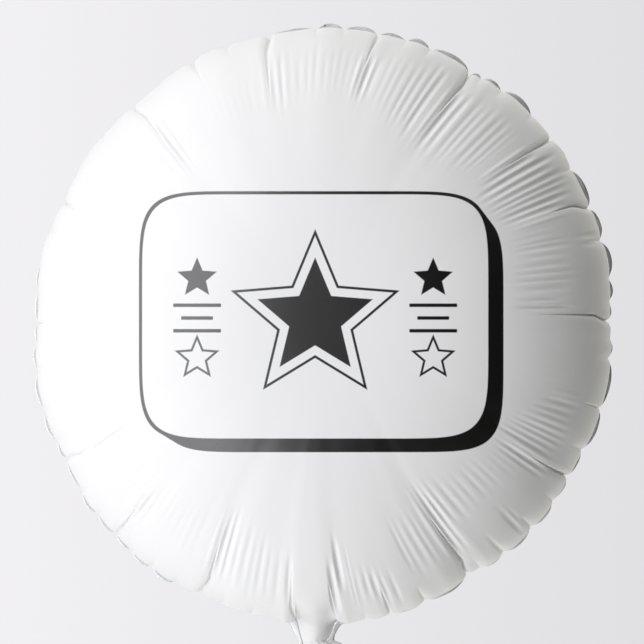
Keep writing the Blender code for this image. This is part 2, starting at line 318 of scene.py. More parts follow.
# %% Pinches and lobes
# Clock angle of the pinch and its dip in mm, then the next lobe's level against the ellipse and how much
# of the border shows over it, in mm
PINCHES = (
    (3.8, 0.6, -5.1, 2.6), (10.6, 2.2, -5.2, 2.3), (16.2, 0.5, -4.2, 2.8), (21.2, 0.9, -4.6, 2.8),
    (30.4, 4.2, -5.9, 1.9), (32.9, 0.5, -4.2, 2.2), (37.6, 0.8, -2.5, 3.1), (45.3, 0.6, -2.2, 0.5),
    (51.2, 3.2, -1.7, 0.7), (58.3, 1.2, -2.6, 3.0), (66.8, 2.8, -1.8, 2.4), (73.7, 1.6, -1.1, 2.6),
    (81.5, 0.4, -2.5, 1.9), (86.0, 0.5, -3.4, 1.0), (90.0, 3.8, -3.3, 0.6), (93.6, 0.5, -1.8, 0.9),
    (97.5, 1.5, -1.1, 2.0), (107.6, 2.2, -1.2, 2.0), (116.6, 1.5, -2.8, 1.3), (122.7, 3.8, -2.1, 1.1),
    (128.2, 1.2, -1.2, 1.6), (134.9, 2.0, -1.2, 1.6), (142.3, 1.6, -2.0, 1.2), (147.8, 0.8, -4.3, 0.3),
    (150.6, 3.4, -1.4, 1.6), (160.3, 1.9, 0.2, 0.8),
    (167.4, 2.2, 0.6, 0.6), (172.2, 0.6, 0.5, 0.6), (177.7, 0.8, 0.6, 0.0), (185.6, 0.8, 1.4, 0.0),
    (194.0, 0.8, 1.6, 0.0), (199.9, 0.9, 0.1, 0.0), (204.7, 2.5, 1.6, 0.5), (209.6, 0.8, 2.5, 2.3),
    (215.2, 0.9, 2.8, 2.1), (220.2, 0.3, 1.9, 1.9), (224.5, 2.2, 2.0, 2.2), (229.6, 0.8, 2.6, 2.0),
    (235.0, 0.6, 0.6, 1.7), (242.0, 2.4, 0.3, 2.0), (245.7, 0.5, 1.7, 2.3), (252.3, 0.5, 1.7, 2.2),
    (260.0, 0.5, 0.1, 1.9), (265.4, 0.3, -1.8, 1.8), (269.5, 1.9, -2.4, 2.1), (276.0, 0.5, -1.0, 1.6),
    (281.0, 0.2, -0.2, 0.0), (288.0, 0.6, -2.4, 0.0), (294.4, 1.4, -3.1, 0.0), (300.6, 0.3, -2.6, 0.0),
    (309.6, 0.4, -4.3, 0.0), (318.0, 2.8, -5.9, 0.0), (325.4, 0.3, -4.5, 0.0), (332.8, 1.3, -3.9, 0.0),
    (340.4, 0.9, -5.3, 0.0), (348.8, 3.8, -5.7, 1.5), (358.4, 0.7, -4.6, 2.6),
)
PINCH_CLOCKS = np.array([row[0] for row in PINCHES])
DIPS = {row[0]: row[1] for row in PINCHES}
STRONG_DIP = 1.8
NECK_LEFT = 185.6
NECK_RIGHT = 177.7
NECK_MIDDLE = 0.5 * (NECK_LEFT + NECK_RIGHT)
# How much lower the rim lies over the neck, and how far the film is tucked in at the weld, over what length
NECK_DROP = 2.4
SEAM_TUCK = 1.5
TUCK_LENGTH = 25.0
# Added to the radius all round, because the tuck draws the rim in
SEAM_ALLOWANCE = 1.0
# A crescent's width in mm from its number in the table: times the first, plus the second
CRESCENT_FIT = (1.1, 0.8)


def lobe_levels():
    """Pairs of each lobe's middle and its level."""
    after = np.roll(PINCH_CLOCKS, -1)
    middles = PINCH_CLOCKS + 0.5 * ((after - PINCH_CLOCKS) % 360.0)
    return tuple((float(middle), row[2]) for middle, row in zip(middles, PINCHES))


LEVELS = lobe_levels()


def rim_radius(clock):
    """Distance from the middle to the rim before the pinches draw it in."""
    turn = np.radians(clock)
    ellipse = 1.0 / np.hypot(np.sin(turn) / HALF_WIDTH, np.cos(turn) / HALF_HEIGHT)
    near_neck = NECK_DROP * np.exp(-((angle_gap(clock, NECK_MIDDLE) / 6.0) ** 4))
    return ellipse + eased(LEVELS, clock) + near_neck + SEAM_ALLOWANCE


def along_lobe(clock):
    """Which pinch lies before each clock angle, and the share of the way to the next one."""
    wrapped = (clock - PINCH_CLOCKS[0]) % 360.0 + PINCH_CLOCKS[0]
    k = np.searchsorted(PINCH_CLOCKS, wrapped, side="right") - 1
    ends = np.append(PINCH_CLOCKS[1:], PINCH_CLOCKS[0] + 360.0)
    return k, (wrapped - PINCH_CLOCKS[k]) / (ends[k] - PINCH_CLOCKS[k])


def bulge(share):
    """0 at both ends of a lobe and 1 at its middle."""
    return clamped(4.0 * share * (1.0 - share))


def border_shows(clock):
    """How far the border stands out past the film, as a crescent over each lobe."""
    k, share = along_lobe(clock)
    most = np.array([row[3] for row in PINCHES])[k]
    return (CRESCENT_FIT[0] * most + CRESCENT_FIT[1] * (most > 0.0)) * bulge(share) ** 0.7


print("pinches:", len(PINCHES), " of them deep:", sum(dip > STRONG_DIP for dip in DIPS.values()))

# %% [markdown]
# ## The folds and the ripples
#
# From a strong pinch a fold runs in: first a sharp crease, then one or two soft valleys beside it. In the
# belt between the rim and the taut middle the slack shows as fans of fine ripples that lie side by side
# and mostly end short of the rim. Folds and ripples near each other lean the same way. So the mesh leans:
# its columns follow that lean, which lets every fold run straight down a column and stay sharp.

# %% Fold tables, in clock degrees, millimetres and shares of the radius
# Lean of the columns: clock angle, and degrees of turn for a whole radius inwards
LEANS = (
    (0, -6.4), (12, -13.5), (30, -13.2), (38, -7.3), (44, -5.3), (52, -9.7), (58, -7.3), (66, -8.2),
    (74, -12.0), (80, -8.8), (88, -2.9), (95, 2.5), (110, 4.7), (120, 1.5), (134, 0.5), (146, 9.0),
    (151, 8.8), (158, 11.4), (170, 8.2), (178, 10.0), (187, 5.9), (193, 5.9), (203, 10.2), (217, 8.0),
    (225, 7.3), (242, 8.8), (262, 0.0), (300, 0.0), (318, -4.4), (345, -9.7), (355, -6.4),
)
# How far in from the rim the lean goes on
LEAN_REACH = 0.40

# Deep folds: clock angle of the pinch, depth and reach of the crease, reach and depth of the valleys, the
# side that they lie on, and how far the crease drifts across the columns
DEEP_FOLDS = (
    (10.6, 1.9, 0.11, 0.24, 1.15, 1, -0.2), (30.4, 2.0, 0.18, 0.33, 1.15, 1, 0.6),
    (51.2, 2.0, 0.18, 0.29, 1.05, 1, 0.1), (66.8, 2.0, 0.13, 0.29, 0.9, -1, -1.3),
    (90.0, 1.5, 0.27, 0.31, 0.4, -1, -1.1), (107.6, 1.0, 0.06, 0.21, 0.7, 1, -0.3),
    (122.7, 2.0, 0.14, 0.28, 1.05, 1, 0.3), (150.6, 2.0, 0.23, 0.36, 1.0, -1, -0.8),
    (167.4, 1.6, 0.09, 0.16, 0.6, 1, 0.0), (177.7, 1.8, 0.135, 0.15, 0.0, -1, 0.2),
    (185.6, 1.5, 0.18, 0.15, 0.0, 1, 0.9), (204.7, 2.0, 0.17, 0.29, 1.1, -1, -1.1),
    (224.5, 1.7, 0.12, 0.20, 1.05, -1, -0.2), (242.0, 1.3, 0.10, 0.26, 1.1, -1, -0.95),
    (269.5, 0.4, 0.02, 0.12, 0.2, 1, 0.0), (294.4, 0.8, 0.08, 0.18, 0.3, -1, -0.3),
    (318.0, 1.1, 0.15, 0.30, 0.9, 1, 1.0), (332.8, 0.9, 0.07, 0.11, 0.1, 1, 0.5),
    (348.8, 1.1, 0.19, 0.27, 0.45, 1, -0.6),
)
FOLD_CLOCKS = [row[0] for row in DEEP_FOLDS]
# How many degrees to each side a fold can reach, and how far in its drift is complete
FOLD_ANGLE = 6.0
DRIFT_REACH = 0.055
# Where a valley sets in, in from the rim, and the shares of its reach between which it fades out
VALLEY_START = (0.06, 0.13)
VALLEY_END = (0.65, 1.06)
# Valleys beside a crease, and the ridge on its other side: degrees to its side, share of the depth
# (below zero for the ridge) and half width in degrees
VALLEYS = ((1.1, 1.0, 1.0), (2.7, 0.5, 0.95), (-1.2, -0.4, 0.9))
# A crease: its depth at the rim against the dip, where it is deepest, in from the rim, and its half width
# in degrees at the rim and at its end
CREASE_AT_RIM = 0.45
CREASE_DEEPEST_AT = 0.03
CREASE_ANGLES = (0.38, 0.26)
# The rounded shoulders beside it: half width in degrees and least reach
SHOULDER_ANGLE = 1.8
LEAST_SHOULDER = 0.06
# A pinch without a fold: its widest half width in degrees. The narrow mark in it: reach in from the rim at
# no dip and for each mm of dip, depth against the dip, and half width in degrees
PINCH_ANGLE = 2.4
MARK_REACH = (0.025, 0.018)
MARK_DEPTH = 0.35
MARK_ANGLE = 0.4

# Fans of ripples: first and last clock angle, where they start in from the rim, how far in they end at
# the first and last, and their depths at the first, middle and last
FRONT_FANS = (
    (351.0, 370.4, 0.06, 0.25, 0.19, 0.28, 0.20, 0.16), (13.6, 26.6, 0.04, 0.23, 0.29, 0.22, 0.30, 0.60),
    (34.2, 46.5, 0.06, 0.32, 0.29, 0.50, 0.48, 0.12), (54.4, 62.8, 0.03, 0.31, 0.29, 0.95, 0.75, 0.85),
    (68.5, 87.0, 0.12, 0.29, 0.33, 0.12, 0.80, 1.30), (91.5, 105.7, 0.13, 0.27, 0.24, 0.20, 0.14, 0.12),
    (110.6, 120.9, 0.08, 0.22, 0.28, 0.45, 0.45, 0.55), (127.4, 146.8, 0.18, 0.28, 0.34, 0.18, 0.28, 0.50),
    (152.2, 159.2, 0.08, 0.32, 0.28, 0.20, 0.55, 0.30), (164.6, 173.9, 0.03, 0.12, 0.20, 0.45, 0.45, 0.30),
    (189.8, 201.2, 0.06, 0.22, 0.29, 0.40, 0.38, 0.60), (208.8, 222.0, 0.10, 0.26, 0.24, 0.16, 0.16, 0.26),
    (225.8, 238.8, 0.10, 0.26, 0.25, 0.14, 0.20, 0.24), (243.3, 268.0, 0.11, 0.24, 0.20, 0.14, 0.10, 0.08),
    (271.0, 293.0, 0.11, 0.20, 0.20, 0.08, 0.10, 0.12), (296.3, 316.3, 0.11, 0.22, 0.26, 0.12, 0.12, 0.18),
    (322.4, 345.4, 0.11, 0.27, 0.25, 0.04, 0.03, 0.12), (72.6, 74.4, 0.01, 0.06, 0.06, 0.90, 0.90, 0.90),
    (135.4, 136.8, 0.01, 0.11, 0.11, 0.60, 0.60, 0.70), (142.4, 142.4, 0.01, 0.06, 0.06, 0.70, 0.70, 0.70),
    (176.8, 176.8, 0.01, 0.22, 0.22, 1.30, 1.30, 1.30), (175.2, 175.2, 0.10, 0.29, 0.29, 1.30, 1.30, 1.30),
    (187.3, 187.3, 0.05, 0.22, 0.22, 0.75, 0.75, 0.75),
)
RIPPLE_SPACING = 1.85
# Between which shares of the radius a ripple sets in, from its start, and fades out, from its end
RIPPLE_START = (-0.02, 0.06)
RIPPLE_END = (-0.08, 0.03)
# Chance in each ripple: its place in degrees, its end, its depth, its start and its width
CHANCE = {
    "place": (-0.22, 0.22), "end": (-0.02, 0.02), "depth": (0.65, 1.25), "start": (-0.015, 0.03),
    "width": (0.85, 1.15),
}
# Single sharp creases: clock angle, start and end in from the rim, depth, and width against a ripple
FINE_CREASES = ((173.0, 0.04, 0.25, 0.30, 0.40),)
# Crinkles at the weld: limits of the clock angle, of the depth and the reach in mm, and of the half width
# in degrees
CRINKLE_COUNT = 170
CRINKLE_LIMITS = ((0.0, 360.0), (0.1, 0.4), (5.0, 16.0), (0.4, 1.0))

# %% Fold functions


def pinch_depth(clock, share_in):
    """The dip of each pinch that has no strong fold: a rounded notch and a narrow mark further in."""
    depth = np.zeros_like(clock)
    for centre, dip in DIPS.items():
        if dip > STRONG_DIP and centre in FOLD_CLOCKS:
            continue
        room = min(abs(angle_gap(other, centre)) for other in DIPS if other != centre)
        half = min(0.6 * room, PINCH_ANGLE)
        reach = MARK_REACH[0] + MARK_REACH[1] * dip
        near = (np.abs(angle_gap(clock, centre)) < half) & (share_in < reach)
        gap = np.abs(angle_gap(clock[near], centre))
        fade = (1.0 - share_in[near] / reach) ** 1.3
        depth[near] += dip * fade * (1.0 - gap / half) ** 2
        depth[near] += MARK_DEPTH * dip * fade * clamped(1.0 - gap / MARK_ANGLE)
    return depth


def deep_fold(row, clock, share_in):
    """Depth of one fold: rounded shoulders at the rim, a sharp crease, and soft valleys beside it."""
    centre, crease_depth, crease_reach, valley_reach, valley_depth, side, drift = row
    along = share_in / crease_reach
    gap = np.abs(angle_gap(clock, centre + drift * smooth_step(0.0, DRIFT_REACH, share_in)))
    at_rim = CREASE_AT_RIM * DIPS[centre]
    shoulders = (DIPS[centre] - at_rim) * clamped(1.0 - share_in / max(crease_reach, LEAST_SHOULDER)) ** 1.6
    depth = shoulders * clamped(1.0 - gap / SHOULDER_ANGLE) ** 2
    half = CREASE_ANGLES[0] + (CREASE_ANGLES[1] - CREASE_ANGLES[0]) * clamped(along)
    deepest = at_rim + (crease_depth - at_rim) * smooth_step(0.0, CREASE_DEEPEST_AT, share_in)
    depth += deepest * clamped(1.4 * (1.0 - along)) ** 0.7 * clamped(1.0 - gap / half)
    fade_from, fade_to = (share * valley_reach for share in VALLEY_END)
    run = smooth_step(*VALLEY_START, share_in) * (1.0 - smooth_step(fade_from, fade_to, share_in))
    for offset, strength, wide in VALLEYS:
        away = angle_gap(clock, centre + drift + offset * side)
        depth += valley_depth * strength * run * hump(away / wide)
    return depth


def fold_depth(folds, clock, share_in):
    """How far the film is drawn in by all the pinches and folds that pass near each point."""
    depth = pinch_depth(clock, share_in)
    for row in folds:
        reach = max(row[2], VALLEY_END[1] * row[3], LEAST_SHOULDER)
        near = (np.abs(angle_gap(clock, row[0])) < FOLD_ANGLE) & (share_in < reach)
        depth[near] += deep_fold(row, clock[near], share_in[near])
    return depth


def ripple_rows(fans, rng):
    """Every ripple of every fan, with a little chance in its place, depth and ends."""
    rows = []
    for first, last, start, end_first, end_last, depth_first, depth_middle, depth_last in fans:
        count = round((last - first) / RIPPLE_SPACING) + 1
        for i in range(count):
            share = i / max(count - 1, 1)
            clock = first + (last - first) * share + rng.uniform(*CHANCE["place"])
            inner = end_first + (end_last - end_first) * share + rng.uniform(*CHANCE["end"])
            depth = np.interp(share, (0.0, 0.5, 1.0), (depth_first, depth_middle, depth_last))
            depth *= rng.uniform(*CHANCE["depth"])
            outer = start + rng.uniform(*CHANCE["start"])
            rows.append((clock, outer, inner, depth, rng.uniform(*CHANCE["width"])))
    return rows


def ripple_depth(rows, clock, share_in):
    depth = np.zeros_like(clock)
    half = 0.5 * RIPPLE_SPACING
    for centre, start, inner, at_most, wide in rows:
        set_in = (start + RIPPLE_START[0], start + RIPPLE_START[1])
        fade = (max(inner + RIPPLE_END[0], start), inner + RIPPLE_END[1])
        near = np.abs(angle_gap(clock, centre)) < half * wide
        near &= (share_in > set_in[0]) & (share_in < fade[1])
        gap = angle_gap(clock[near], centre) / (half * wide)
        run = smooth_step(*set_in, share_in[near]) * (1.0 - smooth_step(*fade, share_in[near]))
        depth[near] += at_most * run * hump(gap)
    return depth


def crinkle_rows(rng):
    """Short fine crinkles right at the weld."""
    return [tuple(rng.uniform(*limits) for limits in CRINKLE_LIMITS) for i in range(CRINKLE_COUNT)]


def crinkle_depth(rows, clock, from_rim):
    depth = np.zeros_like(clock)
    for centre, at_rim, reach, half_angle in rows:
        near = (np.abs(angle_gap(clock, centre)) < half_angle) & (from_rim < reach)
        across = 1.0 - np.abs(angle_gap(clock[near], centre)) / half_angle
        depth[near] += at_rim * across ** 1.5 * (1.0 - from_rim[near] / reach)
    return depth


# %% [markdown]
# ## Where the columns of the mesh go
#
# A crease needs closely spaced columns and a smooth lobe doesn't. The columns are slid sideways so that
# they crowd at the deep folds and along the neck, which costs no more faces than even ones. The taut
# middle is so smooth that a quarter of the columns will do there.

# %% Crowded columns
COLUMNS = 1920
MIDDLE_COLUMNS = COLUMNS // 4
RING_ROWS = 43
MIDDLE_ROWS = 12
# Where the fine ring starts and the coarse middle ends, as shares of the way from the pole to the rim
RING_FROM = 0.46
MIDDLE_TO = 0.448
FOLD_CROWDING = 1.4
FOLD_CROWD_ANGLE = 1.5
NECK_CROWDING = 0.9
NECK_CROWD_ANGLE = 5.0


def crowded_clocks(round_share):
    """Clock angle for each even share of the way round, crowded where the folds are."""
    clock = np.linspace(0.0, 360.0, 7201)
    density = np.ones_like(clock)
    for centre, *sizes, side, drift in DEEP_FOLDS:
        # The crowd's middle lies between the drifting crease and the valley beside it
        gap = angle_gap(clock, centre + 0.6 * drift + 0.4 * side)
        density += FOLD_CROWDING * np.exp(-((gap / FOLD_CROWD_ANGLE) ** 2))
    density += NECK_CROWDING * (np.abs(angle_gap(clock, NECK_MIDDLE)) < NECK_CROWD_ANGLE)
    total = np.concatenate(([0.0], np.cumsum(0.5 * (density[1:] + density[:-1]))))
    return np.interp(round_share, total / total[-1], clock)


# %% [markdown]
# ## From the plain disc to the film
#
# Each point of the swollen disc is moved along the film's own normal by the depth of all its folds. The
# film is tucked in a little at the weld itself, so from the front its puffed wall hides the seam. Over
# the neck the two films stay apart at the rim, and so leave room for the tube. The folds' reaches were
# read from the photograph, where the dome looks larger towards its middle because that is nearer to the
# lens, so the share of the way in is worked out as the camera sees it. Between the two creases beside
# the neck, the wall doesn't curl back to the weld: one smooth curve leads it down into the tube.

# %% Folding a film
NECK_TOP_DEPTH = 8.0
# The smooth curve into the tube: where it starts on the way out to the rim, how it runs at its end
# (outwards and in depth), and how far its middle ridge stands out
FUNNEL_FROM = 0.72
FUNNEL_END_WAY = (31.0, -23.0)
FUNNEL_RIDGE = 3.5
SLOPE_STEP = 0.01
RIDGE_ROUND = 0.16
# How far the film is drawn in beside the ridge, and where that fades out, in from the rim
NECK_SHOULDER = 1.6
SHOULDER_REACH = (0.02, 0.13)


def neck_across(clock):
    """-1 at the neck's left edge and 1 at its right edge."""
    return -angle_gap(clock, NECK_MIDDLE) / (0.5 * (NECK_LEFT - NECK_RIGHT))


def ridge(across):
    """Depth of the neck across its width as a share: two nearly flat sides and a rounded ridge."""
    bent = clamped(across ** 2) + RIDGE_ROUND
    return 1.0 - (bent ** 0.7 - RIDGE_ROUND ** 0.7) / ((1.0 + RIDGE_ROUND) ** 0.7 - RIDGE_ROUND ** 0.7)


def run_into_neck(parts, outer, radius, height):
    """Between the neck's edges, swaps the curled wall for a smooth curve that ends along the tube."""
    across = neck_across(parts["column"])
    share = clamped(1.0 - across ** 4) ** 0.7
    order = np.argsort(parts["arc_share"])
    arcs = parts["arc_share"][order]

    def profile(arc):
        out = np.interp(arc, arcs, parts["radius_share"][order])
        return out * outer, np.interp(arc, arcs, parts["height"][order]) * HALF_DEPTH / HEIGHT_SHARE_AT_POLE

    span = 1.0 - FUNNEL_FROM
    beside = zip(profile(FUNNEL_FROM - SLOPE_STEP), profile(FUNNEL_FROM + SLOPE_STEP))
    ways = [(after - before) / (2.0 * SLOPE_STEP) * span for before, after in beside]
    ends = (outer, NECK_TOP_DEPTH * ridge(across) / np.maximum(share, 0.05))
    t = clamped((parts["arc_share"] - FUNNEL_FROM) / span)
    out, up = (smooth_curve(t, *row) for row in zip(profile(FUNNEL_FROM), ways, ends, FUNNEL_END_WAY))
    up = up + FUNNEL_RIDGE * ridge(across) * bulge(t) ** 2
    share = share * (parts["arc_share"] > FUNNEL_FROM)
    return radius + (out - radius) * share, height + (up - height) * share


def fold_film(parts, folds, ripples, crinkles, side):
    """Places every point of a film: side is -1 for the front and 1 for the back."""
    column = parts["column"]
    stands_out = HALF_DEPTH * MM * parts["height"] / HEIGHT_SHARE_AT_POLE
    as_seen = parts["radius_share"] * CAMERA_DISTANCE / (CAMERA_DISTANCE - stands_out)
    share_in = clamped(1.0 - as_seen)
    outer = rim_radius(column)
    from_rim = (1.0 - parts["arc_share"]) * WALL_ARC * outer
    drawn_in = fold_depth(folds, column, share_in)
    drawn_in += ripple_depth(ripples, column, share_in)
    drawn_in += crinkle_depth(crinkles, column, from_rim)
    across = np.abs(neck_across(column))
    shoulder = (1.0 - ridge(across)) * (1.0 - smooth_step(1.0, 1.6, across))
    drawn_in += NECK_SHOULDER * shoulder * (1.0 - smooth_step(*SHOULDER_REACH, share_in))
    drawn_in += SEAM_TUCK * clamped(across) ** 2 * clamped(1.0 - from_rim / TUCK_LENGTH) ** 2
    height = HALF_DEPTH * parts["height"] / HEIGHT_SHARE_AT_POLE
    radius, height = run_into_neck(parts, outer, outer * parts["radius_share"], height)
    radius = radius + drawn_in * parts["drop"]
    height = np.maximum(height - drawn_in * parts["lean_in"], 0.0)
    turn = np.radians(column + eased(LEANS, column) * np.minimum(share_in, LEAN_REACH))
    return np.column_stack((
        BODY_X + radius * np.sin(turn), side * (SEAM_GAP + height), BODY_Z + radius * np.cos(turn),
    ))


# %% [markdown]
# ## The neck and the tail
#
# Below the rim the two films go on as a narrow tube. It is drawn in at the waist, where the balloon is
# held, and the film gathers there in upright pleats. Further down it is a flat tail with the filling
# valve inside. A smooth curve through a few stations gives its width and depth at any height.

# %% Neck stations, in millimetres
# Height, half width, half depth in the middle, sideways shift
NECK_STATIONS = (
    (10.0, 12.1, 8.0, -0.5), (7.0, 10.9, 6.6, -0.6), (4.0, 9.9, 5.3, -0.8), (1.4, 8.7, 4.3, -1.1),
    (-0.5, 7.7, 3.5, -1.4), (-2.2, 9.2, 2.6, 0.6), (-4.2, 10.9, 1.9, 0.8), (-8.0, 11.5, 1.3, 0.6),
    (-14.0, 11.8, 0.9, 0.6), (-40.0, 11.8, 0.7, 0.6), (-62.0, 11.8, 0.9, 0.6),
)
NECK_ROWS = 54
# Length over which the rows are eased into the dome above
JOIN_LENGTH = 9.0
PLEATS = 4.0
PLEAT_DEPTH = 0.45
# Heights between which the tube goes flat, and where the tail's open end starts to part and how far it does
FLAT_BETWEEN = (-10.0, -2.0)
MOUTH_FROM = -54.0
MOUTH_DEPTH = 0.9


def station_value(column, height):
    """Reads one column of the stations at any height, with a smooth curve through them."""
    table = np.array(NECK_STATIONS[::-1])
    heights = table[:, 0]
    values = table[:, column]
    slopes = np.gradient(values, heights)
    k = np.clip(np.searchsorted(heights, height) - 1, 0, len(heights) - 2)
    step = heights[k + 1] - heights[k]
    t = (height - heights[k]) / step
    return smooth_curve(t, values[k], step * slopes[k], values[k + 1], step * slopes[k + 1])


def tail_sway(height):
    """The flat tail isn't quite straight: it sways to the back, and hangs straight again at its end."""
    down = np.clip(-height - 6.0, 0.0, None)
    return 1.6 * (1.0 - np.cos(down / 18.0)) * clamped(down / 20.0)


def neck_row(across, height, side):
    """One row of film points across the neck at a height."""
    body = clamped(1.0 - across ** 2)
    flat = 1.0 - smooth_step(*FLAT_BETWEEN, height)
    depth = SEAM_GAP + station_value(2, height) * (ridge(across) * (1.0 - flat) + body ** 0.7 * flat)
    # The pleats are deepest at a height of -6, a little below the waist
    pleats = PLEAT_DEPTH * np.exp(-(((height + 6.0) / 4.5) ** 2))
    depth += pleats * (np.cos(np.pi * PLEATS * across + 0.8 * side) * body ** 0.5)
    depth += MOUTH_DEPTH * clamped((MOUTH_FROM - height) / 8.0) * body
    x = station_value(3, height) + station_value(1, height) * across
    y = side * np.maximum(depth, SEAM_GAP) + tail_sway(height)
    return np.column_stack((x, y, np.full_like(across, height)))


def neck_heights():
    """Heights of the rows, closer together near the rim."""
    top = NECK_STATIONS[0][0]
    share = np.linspace(0.0, 1.0, NECK_ROWS)
    return top + (NECK_STATIONS[-1][0] - top) * (0.45 * share + 0.55 * share ** 2)


def neck_rows(across, rim, above, side):
    """Rows of points down the neck that follow on smoothly from the last two rows of the dome."""
    heights = neck_heights()
    top = neck_row(across, heights[0], side)
    own_way = (neck_row(across, heights[0] - 0.5, side) - top) / 0.5
    length = np.linalg.norm(own_way, axis=1) / np.maximum(np.linalg.norm(rim - above, axis=1), 1e-9)
    bend = ((rim - above) * length[:, None] - own_way) * (1.0 - across ** 4)[:, None]
    rows = []
    for height in heights[1:]:
        t = min((heights[0] - height) / JOIN_LENGTH, 1.0)
        row = neck_row(across, height, side)
        row += (rim - top) * (1.0 - t * t * (3.0 - 2.0 * t)) + bend * JOIN_LENGTH * t * (1.0 - t) ** 2
        if t < 1.0:
            row[:, 1] = side * np.maximum(side * row[:, 1], SEAM_GAP)
        rows.append(row)
    return rows


# %% [markdown]
# ## The front film
#
# The film is one sheet in three parts: a coarse taut middle, a fine ring that holds the folds, and the
# neck. The tree makes the first two, and BMesh joins them, with four fine edges to each coarse one. The
# neck's rows then follow on from the ring's last row, each a little below the one before.

# %% Building a film


def disc_band(columns, rows, first, last, crowding, material):
    """One band of the swollen disc, with what the tree stored for each point."""
    mesh = run_tree(DISC_TREE, bpy.data.meshes.new("band"), {
        "Half Width": HALF_WIDTH * MM, "Half Height": HALF_HEIGHT * MM, "Half Depth": HALF_DEPTH * MM,
        "First Share": first, "Last Share": last, "Crowding": crowding,
        "Columns": columns, "Rows": rows, "Material": material,
    })
    parts = {name: read_attribute(mesh, name) for name in STORED}
    parts["column"] = crowded_clocks(parts["round_share"])
    for name in STORED:
        mesh.attributes.remove(mesh.attributes[name])
    return mesh, parts


def find_row(parts, share):
    """Numbers of the points in one row of a band, in order round the clock."""
    found = np.flatnonzero(np.abs(parts["arc_share"] - share) < 1e-5)
    return found[np.argsort(parts["round_share"][found])]


def rim_over_neck(parts):
    """The last two rows of the ring over the neck, and how far across the neck each point lies."""
    rows = []
    for share in (1.0, np.sort(np.unique(parts["arc_share"].round(6)))[-2]):
        found = find_row(parts, share)
        columns = parts["column"][found]
        rows.append(found[(columns >= NECK_RIGHT - 0.02) & (columns <= NECK_LEFT + 0.02)])
    across = neck_across(parts["column"][rows[0]])
    return rows[0], rows[1], across / np.abs(across).max()


def build_film(name, side, folds, ripples, crinkles, material):
    """The whole film: dome, side wall, neck and tail in one mesh."""
    ring, ring_parts = disc_band(COLUMNS, RING_ROWS, RING_FROM, 1.0, 0.5, material)
    middle, middle_parts = disc_band(MIDDLE_COLUMNS, MIDDLE_ROWS, 0.0, MIDDLE_TO, 0.0, material)
    ring_points = fold_film(ring_parts, folds, ripples, crinkles, side)
    ring.vertices.foreach_set("co", (ring_points * MM).ravel())
    middle.vertices.foreach_set("co", (fold_film(middle_parts, folds, [], [], side) * MM).ravel())
    bm = bmesh.new()
    bm.from_mesh(ring)
    offset = len(bm.verts)
    bm.from_mesh(middle)
    bm.verts.ensure_lookup_table()

    fine = [bm.verts[int(i)] for i in find_row(ring_parts, RING_FROM)]
    coarse = [bm.verts[int(i) + offset] for i in find_row(middle_parts, MIDDLE_TO)]
    for j in range(MIDDLE_COLUMNS):
        bm.faces.new([coarse[j], coarse[j + 1], *reversed(fine[4 * j:4 * j + 5])])

    rim, above, across = rim_over_neck(ring_parts)
    row = [bm.verts[int(i)] for i in rim]
    for points in neck_rows(across, ring_points[rim], ring_points[above], side):
        below = [bm.verts.new(Vector(point) * MM) for point in points]
        for i in range(len(row) - 1):
            bm.faces.new((row[i], row[i + 1], below[i + 1], below[i]))
        row = below

    bmesh.ops.remove_doubles(bm, verts=bm.verts, dist=1e-7)
    bmesh.ops.recalc_face_normals(bm, faces=bm.faces)
    tallest = max(bm.faces, key=lambda face: abs(face.calc_center_median().y))
    if tallest.normal.y * side < 0.0:
        bmesh.ops.reverse_faces(bm, faces=bm.faces)
    mesh = bpy.data.meshes.new(name)
    mesh.materials.append(material)
    bm.to_mesh(mesh)
    bm.free()
    print(name, "triangles:", sum(len(p.vertices) - 2 for p in mesh.polygons))
    return show_mesh(name, mesh), ring_parts, ring_points


white_print = bpy.data.materials.new("white_printed_film")
silver_foil = bpy.data.materials.new("silver_foil")
silver_border = bpy.data.materials.new("silver_border")
milky_valve = bpy.data.materials.new("milky_valve_film")
CRINKLES = crinkle_rows(np.random.default_rng(11))
POLE_TEST = run_tree(DISC_TREE, bpy.data.meshes.new("pole_test"), {
    "Half Width": 1.0, "Half Height": 1.0, "Half Depth": 1.0, "First Share": 0.0, "Last Share": 1.0,
    "Crowding": 0.0, "Columns": 3, "Rows": 2, "Material": white_print,
})
HEIGHT_SHARE_AT_POLE = read_attribute(POLE_TEST, "height").max()
print("height of the dome for a radius of 1:", round(float(HEIGHT_SHARE_AT_POLE), 4))

front_film, front_parts, front_points = build_film(
    "film_front", -1.0, DEEP_FOLDS, ripple_rows(FRONT_FANS, np.random.default_rng(5)) + list(FINE_CREASES),
    CRINKLES, white_print,
)
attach(front_film, "root")
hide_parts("front_film")

# %% [markdown]
# ## The back film
#
# The back is the same disc, welded along the same line, so it shares the rim's pinches exactly. Further
# in the two films gather on their own, so the reaches of the folds and the ripples differ.

# %% Back film
# Folds on the back: their reach against the front's, and the least depth and reach of a crease and reach
# and depth of its valleys
BACK_REACH = (0.7, 1.2)
BACK_LEAST = (1.0, 0.05, 0.15, 0.6)
BACK_DRIFT = -0.6


def back_folds(rng):
    """The same pinches, with creases and valleys of other lengths."""
    rows = []
    for centre, crease_depth, crease_reach, valley_reach, valley_depth, side, drift in DEEP_FOLDS:
        longer = rng.uniform(*BACK_REACH)
        other_side = side if rng.uniform() < 0.5 else -side
        sizes = (crease_depth, crease_reach * longer, valley_reach * longer, valley_depth)
        rows.append((centre, *map(max, BACK_LEAST, sizes), other_side, BACK_DRIFT * drift))
    return tuple(rows)


# Fans on the back: the least gap between two folds that has one, how far beside a fold it starts, where it
# starts in from the rim, and its depths
LEAST_GAP = 8.9
FAN_MARGIN = 3.0
FAN_START = 0.08
FAN_DEPTHS = (0.5, 0.32, 0.45)


